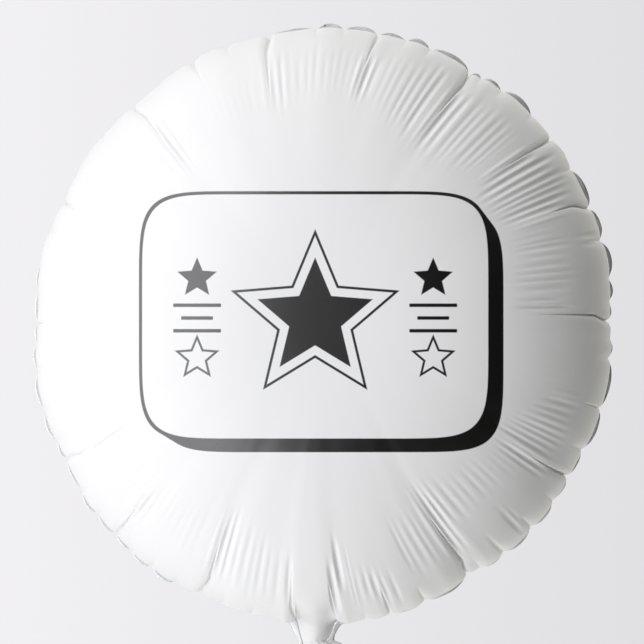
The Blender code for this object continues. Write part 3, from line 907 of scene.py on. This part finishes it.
def back_fans():
    """A fan of ripples between each pair of deep folds, nearly as deep in as their valleys."""
    rows = []
    for this, after in zip(DEEP_FOLDS, DEEP_FOLDS[1:] + DEEP_FOLDS[:1]):
        last = this[0] + (after[0] - this[0]) % 360.0
        if last - this[0] > LEAST_GAP:
            ends = (0.8 * this[3] + 0.05, 0.8 * after[3] + 0.05)
            rows.append((this[0] + FAN_MARGIN, last - FAN_MARGIN, FAN_START, *ends, *FAN_DEPTHS))
    return rows


back_film = build_film(
    "film_back", 1.0, back_folds(np.random.default_rng(31)),
    ripple_rows(back_fans(), np.random.default_rng(23)), CRINKLES, silver_foil,
)[0]
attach(back_film, "root")
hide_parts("back_film")

# %% [markdown]
# ## The welded border
#
# Outside the seam the two films lie face to face, welded into one strip about five millimetres wide. It
# follows the seam round the rim and down both sides of the neck. Its outer edge is as long as the flat
# disc's, so it flutters over the lobes and is drawn in at the pinches. Extruding the seam line outwards
# in Geometry Nodes, step by step along stored directions, keeps the strip joined to the seam everywhere.

# %% Border tree
# How far the strip laps inside the seam, how far past it the strip stays flat and how wide it is at least,
# and how far it hides behind the film where no crescent shows, in mm
BORDER_LAP = 0.8
BORDER_FLAT = 0.6
BORDER_LEAST = 1.2
BORDER_HIDDEN = 0.9
BORDER_THICKNESS = 0.18
BORDER_STEPS = 5
# How far the outer edge bends to the back (below zero: to the front), as clock angle and mm
BORDER_BEND = (
    (0, -0.6), (12, -0.2), (28, 0.4), (42, 0.6), (66, -0.1), (108, -0.05), (134, 1.1), (165, 0.1),
    (206, -0.45), (238, -0.9), (280, -0.9), (305, 0.0),
)
# How many times the edge flutters about that bend on the way round, and how far, as clock angle and mm
FLUTTERS = 47.0
BORDER_FLUTTER = ((90, 0.25), (150, 0.25), (215, 0.05), (280, 0.05), (340, 0.25))
# The bend is even across the strip at a power of 1, and mostly at its outer edge at 2
BORDER_POWER = ((0, 2.0), (168, 2.0), (177, 1.1), (187, 1.1), (215, 1.0), (285, 1.0), (330, 2.0))
# Lengths of the smooth corners where the neck leaves the rim: along the rim and down the neck
CORNER_REACH = (12.0, 7.0)
# Height, and width of the border beside the neck there, left and right
NECK_BORDER = (
    (-62.0, 4.0, 4.0), (-8.0, 4.0, 4.2), (-4.4, 3.4, 4.8), (-2.4, 2.7, 5.8), (-0.7, 1.9, 5.4),
    (1.2, 1.7, 3.4), (2.3, 2.7, 2.9), (4.2, 3.5, 2.6), (7.0, 4.4, 3.3), (10.0, 5.2, 4.4),
)


def border_tree():
    """Extrudes a line of edges outwards, one step for each stored offset."""
    tree, given = new_group(
        "GeometryNodeTree", "welded_border", {"Geometry": ("Geometry",)},
        {"Geometry": ("Geometry",), "Material": ("Material",)},
    )
    kept = given["Geometry"]
    outermost = True
    for step in range(BORDER_STEPS):
        stored = {"Name": f"step_{step}"}
        offset = add_node(tree, "GeometryNodeInputNamedAttribute", stored, data_type="FLOAT_VECTOR")
        extrude = add_node(tree, "GeometryNodeExtrudeMesh", {
            "Mesh": kept, "Selection": outermost, "Offset": offset.outputs["Attribute"],
            "Offset Scale": 1.0,
        }, mode="EDGES")
        kept = extrude.outputs["Mesh"]
        outermost = extrude.outputs["Top"]
    end_geometry(tree, kept, given["Material"])
    return tree


# %% Border paths


def rim_border_paths():
    """Inner edge, bend and outer edge along the rim, clockwise from the neck's left side to its right."""
    out_of_middle = np.hypot(front_points[:, 0] - BODY_X, front_points[:, 2] - BODY_Z)
    clocks, which = np.unique(front_parts["column"], return_inverse=True)
    silhouette = np.zeros(len(clocks))
    np.maximum.at(silhouette, which, out_of_middle)
    seam = np.zeros(len(clocks))
    on_seam = front_parts["arc_share"] > 1.0 - 1e-6
    seam[which[on_seam]] = out_of_middle[on_seam]
    shows = border_shows(clocks)
    outer = silhouette + shows - BORDER_HIDDEN * (1.0 - clamped(shows / 0.6))
    turn = np.radians(clocks)
    # The inner sine makes the flutters uneven
    wave = np.sin(FLUTTERS * turn + 3.0 * np.sin(11.0 * turn))
    curl = eased(BORDER_BEND, clocks) + eased(BORDER_FLUTTER, clocks) * wave
    lift = curl * (0.4 + bulge(along_lobe(clocks)[1]))
    level = np.zeros_like(lift)
    order = np.argsort((clocks - NECK_LEFT) % 360.0)
    order = order[((clocks[order] - NECK_LEFT) % 360.0) <= (NECK_RIGHT - NECK_LEFT) % 360.0]
    radii = (seam - BORDER_LAP, seam + BORDER_FLAT, np.maximum(outer, seam + BORDER_LEAST))
    return [
        np.column_stack((BODY_X + radius * np.sin(turn), y, BODY_Z + radius * np.cos(turn)))[order]
        for radius, y in zip(radii, (level, level, lift))
    ]


def neck_border_paths(hand):
    """The same three lines down one side of the neck, from the rim to the tail's end."""
    rim, above, across = rim_over_neck(front_parts)
    edge = int(np.argmax(across * hand))
    one = slice(edge, edge + 1)
    rows = np.array(neck_rows(across[one], front_points[rim[one]], front_points[above[one]], -1.0))
    heights = rows[:, 0, 2]
    table = np.array(NECK_BORDER)
    width = np.interp(heights, table[:, 0], table[:, 1 if hand < 0.0 else 2])
    # The strip curls to the back, most of all just above the waist, and waves a little along the tail
    curl = (0.07 - 0.03 * hand) * width * np.exp(-(((heights - 5.0) / 9.0) ** 2))
    curl += 0.3 * np.sin(heights / 5.0 + 2.0) * (heights < -5.0)
    return [
        np.column_stack((rows[:, 0, 0] + hand * out, tail_sway(heights) + lift * curl, heights))
        for out, lift in ((-BORDER_LAP, 0.0), (BORDER_FLAT, 0.0), (width, 1.0))
    ]


def filleted(path, first, last, shares):
    """Replaces a stretch of a path with one smooth curve that leaves and arrives along the path."""
    start = path[first]
    end = path[last]
    reach = 0.55 * np.linalg.norm(end - start)
    ways = (path[i + 1] - path[i] for i in (first - 1, last))
    leave, arrive = (way / np.linalg.norm(way) for way in ways)
    t = shares[:, None]
    curve = (1 - t) ** 3 * start + 3 * (1 - t) ** 2 * t * (start + reach * leave)
    curve += 3 * (1 - t) * t ** 2 * (end - reach * arrive) + t ** 3 * end
    path = path.copy()
    path[first:last + 1] = curve
    return path


def border_lines():
    """The strip's inner edge, bend and outer edge, from the tail's left end round to its right end."""
    left = neck_border_paths(-1.0)
    around = rim_border_paths()
    right = neck_border_paths(1.0)
    lines = [np.vstack((left[i][::-1], around[i], right[i])) for i in range(3)]
    # Both corners where the neck leaves the rim are turned in a smooth curve
    run = np.concatenate(([0.0], np.cumsum(np.linalg.norm(np.diff(lines[0], axis=0), axis=1))))
    corners = (len(left[0]), len(left[0]) + len(around[0]))
    for corner, before, after in zip(corners, CORNER_REACH[::-1], CORNER_REACH):
        first = int(np.searchsorted(run, run[corner] - before))
        last = int(np.searchsorted(run, run[corner] + after))
        shares = (run[first:last + 1] - run[first]) / (run[last] - run[first])
        lines[1:] = [filleted(line, first, last, shares) for line in lines[1:]]
    return [line * MM for line in lines]


# %% Building the border


def build_border(material):
    inner, bend, outer = border_lines()
    clocks = np.degrees(np.arctan2(inner[:, 0] - BODY_X * MM, inner[:, 2] - BODY_Z * MM))
    power = eased(BORDER_POWER, clocks)
    rows = [inner, bend]
    for step in range(1, BORDER_STEPS):
        share = step / (BORDER_STEPS - 1)
        row = bend + (outer - bend) * share
        row[:, 1] = bend[:, 1] + (outer[:, 1] - bend[:, 1]) * share ** power
        rows.append(row)
    line = bpy.data.meshes.new("border_line")
    line.from_pydata(inner.tolist(), [(i, i + 1) for i in range(len(inner) - 1)], [])
    names = [f"step_{step}" for step in range(BORDER_STEPS)]
    for name, row, after in zip(names, rows, rows[1:]):
        stored = line.attributes.new(name, "FLOAT_VECTOR", "POINT")
        stored.data.foreach_set("vector", (after - row).ravel())
    strip = run_tree(border_tree(), line, {"Material": material})
    for name in names:
        strip.attributes.remove(strip.attributes[name])
    print("welded_border faces before the wall:", len(strip.polygons))
    border = show_mesh("welded_border", strip)
    add_wall(border, BORDER_THICKNESS, 0.0)
    return border


border = build_border(silver_border)
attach(border, "root")
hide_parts("heat_weld")

# %% [markdown]
# ## The filling valve
#
# Inside the tail lie two strips of clear film, sealed at their long edges: gas can be blown in between
# them, and the pressure inside presses them flat again. Only their ends show, at the open end of the tail.

# %% Valve films
VALVE_X = 0.6
VALVE_HALF_WIDTH = 9.5
VALVE_TOP = -16.0
VALVE_BOTTOM = -66.0
VALVE_COLUMNS = 24
VALVE_ROWS = 50
VALVE_THICKNESS = 0.08
# Each strip's distance from the middle plane, and how much further it parts at the mouth
VALVE_GAP = 0.12
VALVE_OPENING = 0.9
VALVE_MOUTH_FROM = -52.0


def build_valve(name, side, material):
    """A thin strip that follows the tail and parts a little from its twin at the mouth."""
    across = np.linspace(-1.0, 1.0, VALVE_COLUMNS + 1)
    x = VALVE_X + VALVE_HALF_WIDTH * across
    rows = []
    for height in np.linspace(VALVE_TOP, VALVE_BOTTOM, VALVE_ROWS + 1):
        mouth = clamped((VALVE_MOUTH_FROM - height) / (VALVE_MOUTH_FROM - VALVE_BOTTOM))
        y = side * (VALVE_GAP + VALVE_OPENING * mouth * (1.0 - across ** 2)) + tail_sway(height)
        rows.append(np.column_stack((x, y, np.full_like(across, height))))
    width = VALVE_COLUMNS + 1
    corners = [j * width + i for j in range(VALVE_ROWS) for i in range(VALVE_COLUMNS)]
    faces = [(a, a + 1, a + width + 1, a + width) for a in corners]
    mesh = bpy.data.meshes.new(name)
    mesh.from_pydata((np.vstack(rows) * MM).tolist(), [], faces)
    mesh.materials.append(material)
    if mesh.polygons[0].normal.y * side < 0.0:
        mesh.flip_normals()
    strip = show_mesh(name, mesh)
    add_wall(strip, VALVE_THICKNESS, 1.0)
    return strip


for piece_name, node_name, side in (
    ("valve_strip_front", "valve_front", -1.0),
    ("valve_strip_back", "valve_back", 1.0),
):
    strip = build_valve(piece_name, side, milky_valve)
    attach(strip, "root")
    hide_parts(node_name)

# %% [markdown]
# ## Finishes
#
# The front is a white coat on shiny film: satin, with a soft wide gloss. Bare metallised film is a bright
# mirror that is never quite even, because the film was drawn over rollers and handled. All the films share
# one small group that gives fine handling creases and a slow change of gloss, each at its own scale.

# %% Shared film group


def film_texture_group():
    """Outputs a bump height of fine handling marks and a mask of dull and bright patches."""
    tree, given = new_group(
        "ShaderNodeTree", "film_texture", {"Float": ("Height", "Patches")},
        {"Float": ("Crease Scale", "Patch Scale")},
    )
    where = add_node(tree, "ShaderNodeTexCoord").outputs["Object"]
    creases, patches = (
        add_node(tree, "ShaderNodeTexNoise", {"Vector": where, "Scale": given[name], "Detail": detail})
        for name, detail in (("Crease Scale", 3.0), ("Patch Scale", 2.0))
    )
    marks = calc(tree, "ABSOLUTE", calc(tree, "SUBTRACT", creases.outputs[0], 0.5))
    add_node(tree, "NodeGroupOutput", {"Height": marks, "Patches": patches.outputs[0]})
    return tree


FILM_TEXTURE = film_texture_group()


def start_material(material):
    """Clears a material and returns its tree and its Principled shader."""
    material.use_nodes = True
    tree = material.node_tree
    tree.nodes.clear()
    shader = add_node(tree, "ShaderNodeBsdfPrincipled")
    add_node(tree, "ShaderNodeOutputMaterial", {"Surface": shader.outputs[0]})
    return tree, shader


def object_place(tree):
    """The X, Y and Z of the point on the object, in metres."""
    return split(tree, add_node(tree, "ShaderNodeTexCoord").outputs["Object"])


def film_surface(tree, shader, scales, roughness, bump):
    """Bumps the shader with fine marks, and returns a roughness that changes slowly over the film."""
    inputs = dict(zip(("Crease Scale", "Patch Scale"), scales))
    group = add_node(tree, "ShaderNodeGroup", inputs, node_tree=FILM_TEXTURE)
    strength, distance = bump
    marks = add_node(tree, "ShaderNodeBump", {
        "Strength": strength, "Distance": distance, "Height": group.outputs["Height"],
    })
    feed(tree, shader, {"Normal": marks.outputs[0]})
    low, high = roughness
    gloss = {"Value": group.outputs["Patches"], "To Min": low, "To Max": high}
    return add_node(tree, "ShaderNodeMapRange", gloss).outputs["Result"]


# %% [markdown]
# ## The print
#
# The printed place is a rounded frame with a thick drop shadow down and to the right, and inside it a
# plain party motif of stars and bars. A print like this is flat artwork, so each shape is a signed
# distance worked out from the film's X and Z: below zero is inside, and a narrow ramp gives a clean edge
# at any size. The sizes are those that the camera sees at the distance of the weld. The film stands nearer
# to the eye in the middle and looks larger there, so its X and Z are spread a little to match.

# %% Print groups, in millimetres
CORNER_POWER = 5.3
PLATE_SIZES = ("Centre X", "Centre Z", "Half Width", "Half Height", "Corner")
STAR_SIZES = ("Centre X", "Centre Z", "Radius")
STAR_NOTCH = 0.45


def rounded_plate_group():
    """Signed distance to a rounded rectangle."""
    inputs = {"Float": ("X", "Z", *PLATE_SIZES)}
    tree, given = new_group("ShaderNodeTree", "rounded_plate", {"Float": ("Distance",)}, inputs)

    def past(axis, centre, half):
        away = calc(tree, "ABSOLUTE", calc(tree, "SUBTRACT", given[axis], given[centre]))
        return calc(tree, "SUBTRACT", away, calc(tree, "SUBTRACT", given[half], given["Corner"]))

    over = (past("X", "Centre X", "Half Width"), past("Z", "Centre Z", "Half Height"))
    out = (calc(tree, "POWER", calc(tree, "MAXIMUM", part, 0.0), CORNER_POWER) for part in over)
    outside = calc(tree, "POWER", calc(tree, "ADD", *out), 1.0 / CORNER_POWER)
    inside = calc(tree, "MINIMUM", calc(tree, "MAXIMUM", *over), 0.0)
    distance = calc(tree, "SUBTRACT", calc(tree, "ADD", outside, inside), given["Corner"])
    add_node(tree, "NodeGroupOutput", {0: distance})
    return tree


def star_group():
    """Signed distance to a five-pointed star with one point up."""
    inputs = {"Float": ("X", "Z", *STAR_SIZES)}
    tree, given = new_group("ShaderNodeTree", "star", {"Float": ("Distance",)}, inputs)
    x = calc(tree, "SUBTRACT", given["X"], given["Centre X"])
    z = calc(tree, "SUBTRACT", given["Z"], given["Centre Z"])
    squares = (calc(tree, "MULTIPLY", part, part) for part in (x, z))
    length = calc(tree, "SQRT", calc(tree, "ADD", *squares))
    # Folding the five points onto each other leaves one half of one point to measure
    half_sector = math.pi / 5.0
    turn = calc(tree, "WRAP", calc(tree, "ARCTAN2", x, z), half_sector, -half_sector)
    folded = calc(tree, "ABSOLUTE", turn)
    tip_way = calc(tree, "MULTIPLY", length, calc(tree, "COSINE", folded))
    side_way = calc(tree, "MULTIPLY", length, calc(tree, "SINE", folded))
    # One edge of the star runs from the tip to the notch between two points
    edge_x = STAR_NOTCH * math.cos(half_sector) - 1.0
    edge_z = STAR_NOTCH * math.sin(half_sector)
    size = math.hypot(edge_x, edge_z)
    from_tip = calc(tree, "SUBTRACT", tip_way, given["Radius"])
    first = calc(tree, "MULTIPLY", from_tip, edge_z / size)
    second = calc(tree, "MULTIPLY", side_way, -edge_x / size)
    add_node(tree, "NodeGroupOutput", {0: calc(tree, "ADD", first, second)})
    return tree


ROUNDED_PLATE = rounded_plate_group()
STAR = star_group()

# %% The artwork, in millimetres
# How much the film's X and Z are spread for each metre that it stands out to the front
PRINT_SPREAD = 0.68
FRAME_CENTRE = (-4.3, 3.5)
FRAME_HALF = (108.5, 76.5)
FRAME_CORNER = 68.6
FRAME_LINE = 2.0
SHADOW = (9.6, -8.6)
SHADOW_STEPS = 5
EDGE_SOFTNESS = 0.22
# The motif: the large star, with the gap and the half width of the line round it
MOTIF_DROP = 1.0
LARGE_STAR = 38.0
RING_GAP = 6.0
RING_HALF = 0.8
# On each side of it: a filled star above, three bars, and a star drawn as a line below
SIDE_X = 74.0
SMALL_STAR = 13.0
FILLED_STAR_Z = 24.0
LINE_STAR_Z = -26.0
STAR_LINE_HALF = 0.7
BARS = ((8.0, 15.0), (0.0, 10.0), (-8.0, 15.0))
BAR_HALF = 1.1
BAR_CORNER = 1.05
# Y in metres in front of which the film is printed
PRINT_FROM = -0.02


def print_mask(tree):
    """1 where there is ink and 0 on the bare white."""
    where = object_place(tree)
    spread = calc(tree, "SUBTRACT", 1.0, calc(tree, "MULTIPLY", where[1], PRINT_SPREAD))

    def spread_mm(place, middle):
        mm = calc(tree, "MULTIPLY", calc(tree, "SUBTRACT", place, middle), 1.0 / MM)
        return calc(tree, "MULTIPLY", mm, spread)

    point = {"X": spread_mm(where[0], CAMERA_X), "Z": spread_mm(where[2], CAMERA_Z)}

    def inside(distance):
        """1 inside a shape, with a soft edge a fraction of a millimetre wide."""
        return add_node(tree, "ShaderNodeMapRange", {
            "Value": distance, "From Min": -EDGE_SOFTNESS, "From Max": EDGE_SOFTNESS,
            "To Min": 1.0, "To Max": 0.0,
        }).outputs["Result"]

    def shape(group, names, *sizes):
        inputs = {**point, **dict(zip(names, sizes))}
        return add_node(tree, "ShaderNodeGroup", inputs, node_tree=group).outputs[0]

    def plate(x, z, half, corner):
        return shape(ROUNDED_PLATE, PLATE_SIZES, x, z, *half, corner)

    def star(x, z, radius):
        return shape(STAR, STAR_SIZES, x, z, radius)

    def line_along(distance, half_width):
        return calc(tree, "SUBTRACT", calc(tree, "ABSOLUTE", distance), half_width)

    middle_x, middle_z = FRAME_CENTRE
    frame_inside = plate(middle_x, middle_z, FRAME_HALF, FRAME_CORNER)
    swept = calc(tree, "SUBTRACT", frame_inside, FRAME_LINE)
    for step in range(1, SHADOW_STEPS + 1):
        share = step / SHADOW_STEPS
        moved = plate(middle_x + SHADOW[0] * share, middle_z + SHADOW[1] * share, FRAME_HALF, FRAME_CORNER)
        swept = calc(tree, "MINIMUM", swept, calc(tree, "SUBTRACT", moved, FRAME_LINE * (1.0 - share)))
    ink = calc(tree, "MULTIPLY", inside(swept), calc(tree, "SUBTRACT", 1.0, inside(frame_inside)))

    large = star(middle_x, middle_z - MOTIF_DROP, LARGE_STAR)
    shapes = [large, line_along(calc(tree, "SUBTRACT", large, RING_GAP), RING_HALF)]
    for x in (middle_x - SIDE_X, middle_x + SIDE_X):
        shapes.append(star(x, middle_z + FILLED_STAR_Z, SMALL_STAR))
        shapes.append(line_along(star(x, middle_z + LINE_STAR_Z, SMALL_STAR), STAR_LINE_HALF))
        for row, half_length in BARS:
            shapes.append(plate(x, middle_z - MOTIF_DROP + row, (half_length, BAR_HALF), BAR_CORNER))
    motif = shapes[0]
    for other in shapes[1:]:
        motif = calc(tree, "MINIMUM", motif, other)
    ink = calc(tree, "MAXIMUM", ink, inside(motif))
    # Only the front of the dome is printed, never the neck
    return calc(tree, "MULTIPLY", ink, calc(tree, "LESS_THAN", where[1], PRINT_FROM))


# %% Front film finish
WHITE_COAT = (0.83, 0.83, 0.83, 1.0)
INK = (0.0015, 0.0015, 0.0018, 1.0)
# The ink is smoother than the white coat and has a gloss of its own
INK_SMOOTHER = 0.35
INK_GLOSS_ROUGHNESS = 0.31
INK_GLOSS_IOR = 1.65


def finish_white_print(material):
    tree, shader = start_material(material)
    mask = print_mask(tree)
    colours = {"Factor": mask, "A": WHITE_COAT, "B": INK}
    gloss = film_surface(tree, shader, scales=(90.0, 14.0), roughness=(0.38, 0.46), bump=(0.04, 0.0006))
    smoother = calc(tree, "SUBTRACT", 1.0, calc(tree, "MULTIPLY", mask, INK_SMOOTHER))
    feed(tree, shader, {
        "Base Color": add_node(tree, "ShaderNodeMix", colours, data_type="RGBA").outputs["Result"],
        "Roughness": calc(tree, "MULTIPLY", gloss, smoother), "Specular IOR Level": 0.5,
        "Coat Weight": mask, "Coat Roughness": INK_GLOSS_ROUGHNESS, "Coat IOR": INK_GLOSS_IOR,
    })


finish_white_print(white_print)

# %% Foil and valve finishes


def finish_film(material, colour, scales, roughness, bump, more):
    """A film of one colour, with its fine marks and any more inputs of the shader."""
    tree, shader = start_material(material)
    gloss = film_surface(tree, shader, scales, roughness, bump)
    feed(tree, shader, {"Base Color": (*colour, 1.0), "Roughness": gloss, **more})


finish_film(
    silver_foil, colour=(0.80, 0.81, 0.82), scales=(70.0, 11.0), roughness=(0.14, 0.24),
    bump=(0.10, 0.0008), more={"Metallic": 1.0},
)
# The hot press leaves the weld duller than the free film
finish_film(
    silver_border, colour=(0.74, 0.75, 0.76), scales=(160.0, 30.0), roughness=(0.47, 0.57),
    bump=(0.20, 0.0006), more={"Metallic": 1.0},
)
# Clear film, a little milky and cloudy
finish_film(
    milky_valve, colour=(0.86, 0.88, 0.90), scales=(60.0, 20.0), roughness=(0.35, 0.5),
    bump=(0.1, 0.0004), more={"Transmission Weight": 0.35},
)

# %% [markdown]
# ## The studio
#
# A plain pale bowl of paper closes round the balloon on all sides, so every view has the same soft ground.
# Its pale tone is painted light: the paper's own colour is nearly black, and it glows, a bit more on the
# left, as if the panel there lit it. The light on the balloon comes from elsewhere: a large soft panel at
# the front left does most of the work. The room adds the rest: it is bright above and below, most of all
# on the left, pale behind the balloon and dark at the front right. That gives the dome its shape, and the
# bare foil something to mirror.

# %% Shared blend


def blend(tree, colour, other, way, low, high):
    """Goes softly from one colour to the other while a value rises from low to high."""
    limits = {"Value": way, "From Min": low, "From Max": high}
    step = add_node(tree, "ShaderNodeMapRange", limits, interpolation_type="SMOOTHSTEP")
    first, second = ((*part, 1.0) if isinstance(part, tuple) else part for part in (colour, other))
    mix = {"Factor": step.outputs["Result"], "A": first, "B": second}
    return add_node(tree, "ShaderNodeMix", mix, data_type="RGBA").outputs["Result"]


# %% Backdrop
FLOOR_Z = -2.6
BACKDROP_RADIUS = 4.0
BACKDROP_HEIGHT = 7.5
CORNER_RADIUS = 1.6
CORNER_STEPS = 16
BACKDROP_STEPS = 96
# Painted light: the paper's glow at its left and at its right, brighter on the left where the panel stands
BACKDROP_PAINTED_LIGHT = (0.86, 0.70)
BACKDROP_TINT = (1.0, 0.985, 1.005)
BACKDROP_BLEND = 1.1
# The paper's own colour is nearly black, so that the painted glow sets its pale tone
PAPER = (0.06, 0.06, 0.06, 1.0)


def finish_backdrop(material):
    tree, shader = start_material(material)
    # Painted light: a glow that fades from the bright left to the darker right, in place of lamp light on
    # the paper
    tones = (tuple(level * part for part in BACKDROP_TINT) for level in BACKDROP_PAINTED_LIGHT)
    painted_glow = blend(tree, *tones, object_place(tree)[0], -BACKDROP_BLEND, BACKDROP_BLEND)
    feed(tree, shader, {
        "Base Color": PAPER, "Roughness": 0.95, "Emission Color": painted_glow, "Emission Strength": 1.0,
    })


def build_backdrop():
    profile = [(0.0, FLOOR_Z)]
    for i in range(CORNER_STEPS + 1):
        turn = math.radians(90.0 * i / CORNER_STEPS)
        x = BACKDROP_RADIUS - CORNER_RADIUS + CORNER_RADIUS * math.sin(turn)
        profile.append((x, FLOOR_Z + CORNER_RADIUS * (1.0 - math.cos(turn))))
    profile += [(x, 2.0 * FLOOR_Z + BACKDROP_HEIGHT - z) for x, z in reversed(profile)]
    mesh = bpy.data.meshes.new("backdrop")
    points = [(x, 0.0, z) for x, z in profile]
    mesh.from_pydata(points, [(i, i + 1) for i in range(len(points) - 1)], [])
    backdrop = show_mesh("backdrop", mesh)
    screw = backdrop.modifiers.new("turn", "SCREW")
    screw.steps = BACKDROP_STEPS
    screw.render_steps = BACKDROP_STEPS
    screw.use_merge_vertices = True
    screw.merge_threshold = 0.0001
    screw.use_smooth_shade = True
    material = bpy.data.materials.new("backdrop_paper")
    finish_backdrop(material)
    mesh.materials.append(material)
    # The camera sees the paper; the balloon is lit by the panel and the room alone
    for ray in ("diffuse", "glossy", "transmission", "shadow"):
        setattr(backdrop, "visible_" + ray, False)


build_backdrop()

# %% The soft panel
# Turn from the camera's side in degrees, left below zero; distance and size in metres
KEY_TURN = -38.5
KEY_DISTANCE = 2.4
KEY_SIZE = (2.6, 3.8)
KEY_RADIANCE = 2.06
KEY_COLOUR = (1.0, 1.0, 1.035)
KEY_AIM = Vector((0.0, 0.0, 0.2))


def add_key():
    """A soft panel that faces the balloon."""
    angle = math.radians(KEY_TURN)
    place = KEY_AIM + Vector((KEY_DISTANCE * math.sin(angle), -KEY_DISTANCE * math.cos(angle), 0.0))
    light = bpy.data.lights.new("key_left", "AREA")
    light.shape = "RECTANGLE"
    light.size, light.size_y = KEY_SIZE
    light.energy = KEY_RADIANCE * math.pi * KEY_SIZE[0] * KEY_SIZE[1]
    light.color = KEY_COLOUR
    holder = bpy.data.objects.new("key_left", light)
    holder.location = place
    holder.rotation_euler = (KEY_AIM - place).to_track_quat("-Z", "Y").to_euler()
    holder.visible_camera = False
    bpy.context.scene.collection.objects.link(holder)


add_key()

# %% The room
ROOM_RIGHT = (0.02, 0.02, 0.017)
ROOM_LEFT = (0.43, 0.43, 0.43)
ROOM_BEHIND_LEFT = (0.75, 0.75, 0.75)
ROOM_BEHIND_RIGHT = (1.25, 1.24, 1.18)
ROOM_ABOVE_LEFT = (1.26, 1.265, 1.28)
ROOM_ABOVE_RIGHT = (0.94, 0.93, 0.88)
ROOM_BELOW_LEFT = (1.34, 1.35, 1.38)
ROOM_BELOW_RIGHT = (0.90, 0.89, 0.84)
# Where each part fades into the next, as parts of a direction of length 1
FRONT_FADE = (-0.35, 0.15)
BEHIND_FADE = (-0.6, 0.6)
LEVEL_FADE = (-0.5, 0.5)
TO_BEHIND = (0.2, 0.85)
TO_ABOVE = (0.41, 0.9)
TO_BELOW = (0.48, 0.95)


def light_room():
    """Colours the world by direction, with soft steps between its parts."""
    world = bpy.data.worlds.new("studio")
    world.use_nodes = True
    tree = world.node_tree
    to_right, to_back, upwards = split(tree, add_node(tree, "ShaderNodeTexCoord").outputs["Generated"])
    downwards = calc(tree, "MULTIPLY", upwards, -1.0)
    behind = blend(tree, ROOM_BEHIND_LEFT, ROOM_BEHIND_RIGHT, to_right, *BEHIND_FADE)
    above = blend(tree, ROOM_ABOVE_LEFT, ROOM_ABOVE_RIGHT, to_right, *LEVEL_FADE)
    below = blend(tree, ROOM_BELOW_LEFT, ROOM_BELOW_RIGHT, to_right, *LEVEL_FADE)
    colour = blend(tree, ROOM_LEFT, ROOM_RIGHT, to_right, *FRONT_FADE)
    colour = blend(tree, colour, behind, to_back, *TO_BEHIND)
    colour = blend(tree, colour, above, upwards, *TO_ABOVE)
    colour = blend(tree, colour, below, downwards, *TO_BELOW)
    feed(tree, tree.nodes["Background"], {"Color": colour})
    bpy.context.scene.world = world


light_room()
bpy.context.scene.view_settings.view_transform = "Standard"
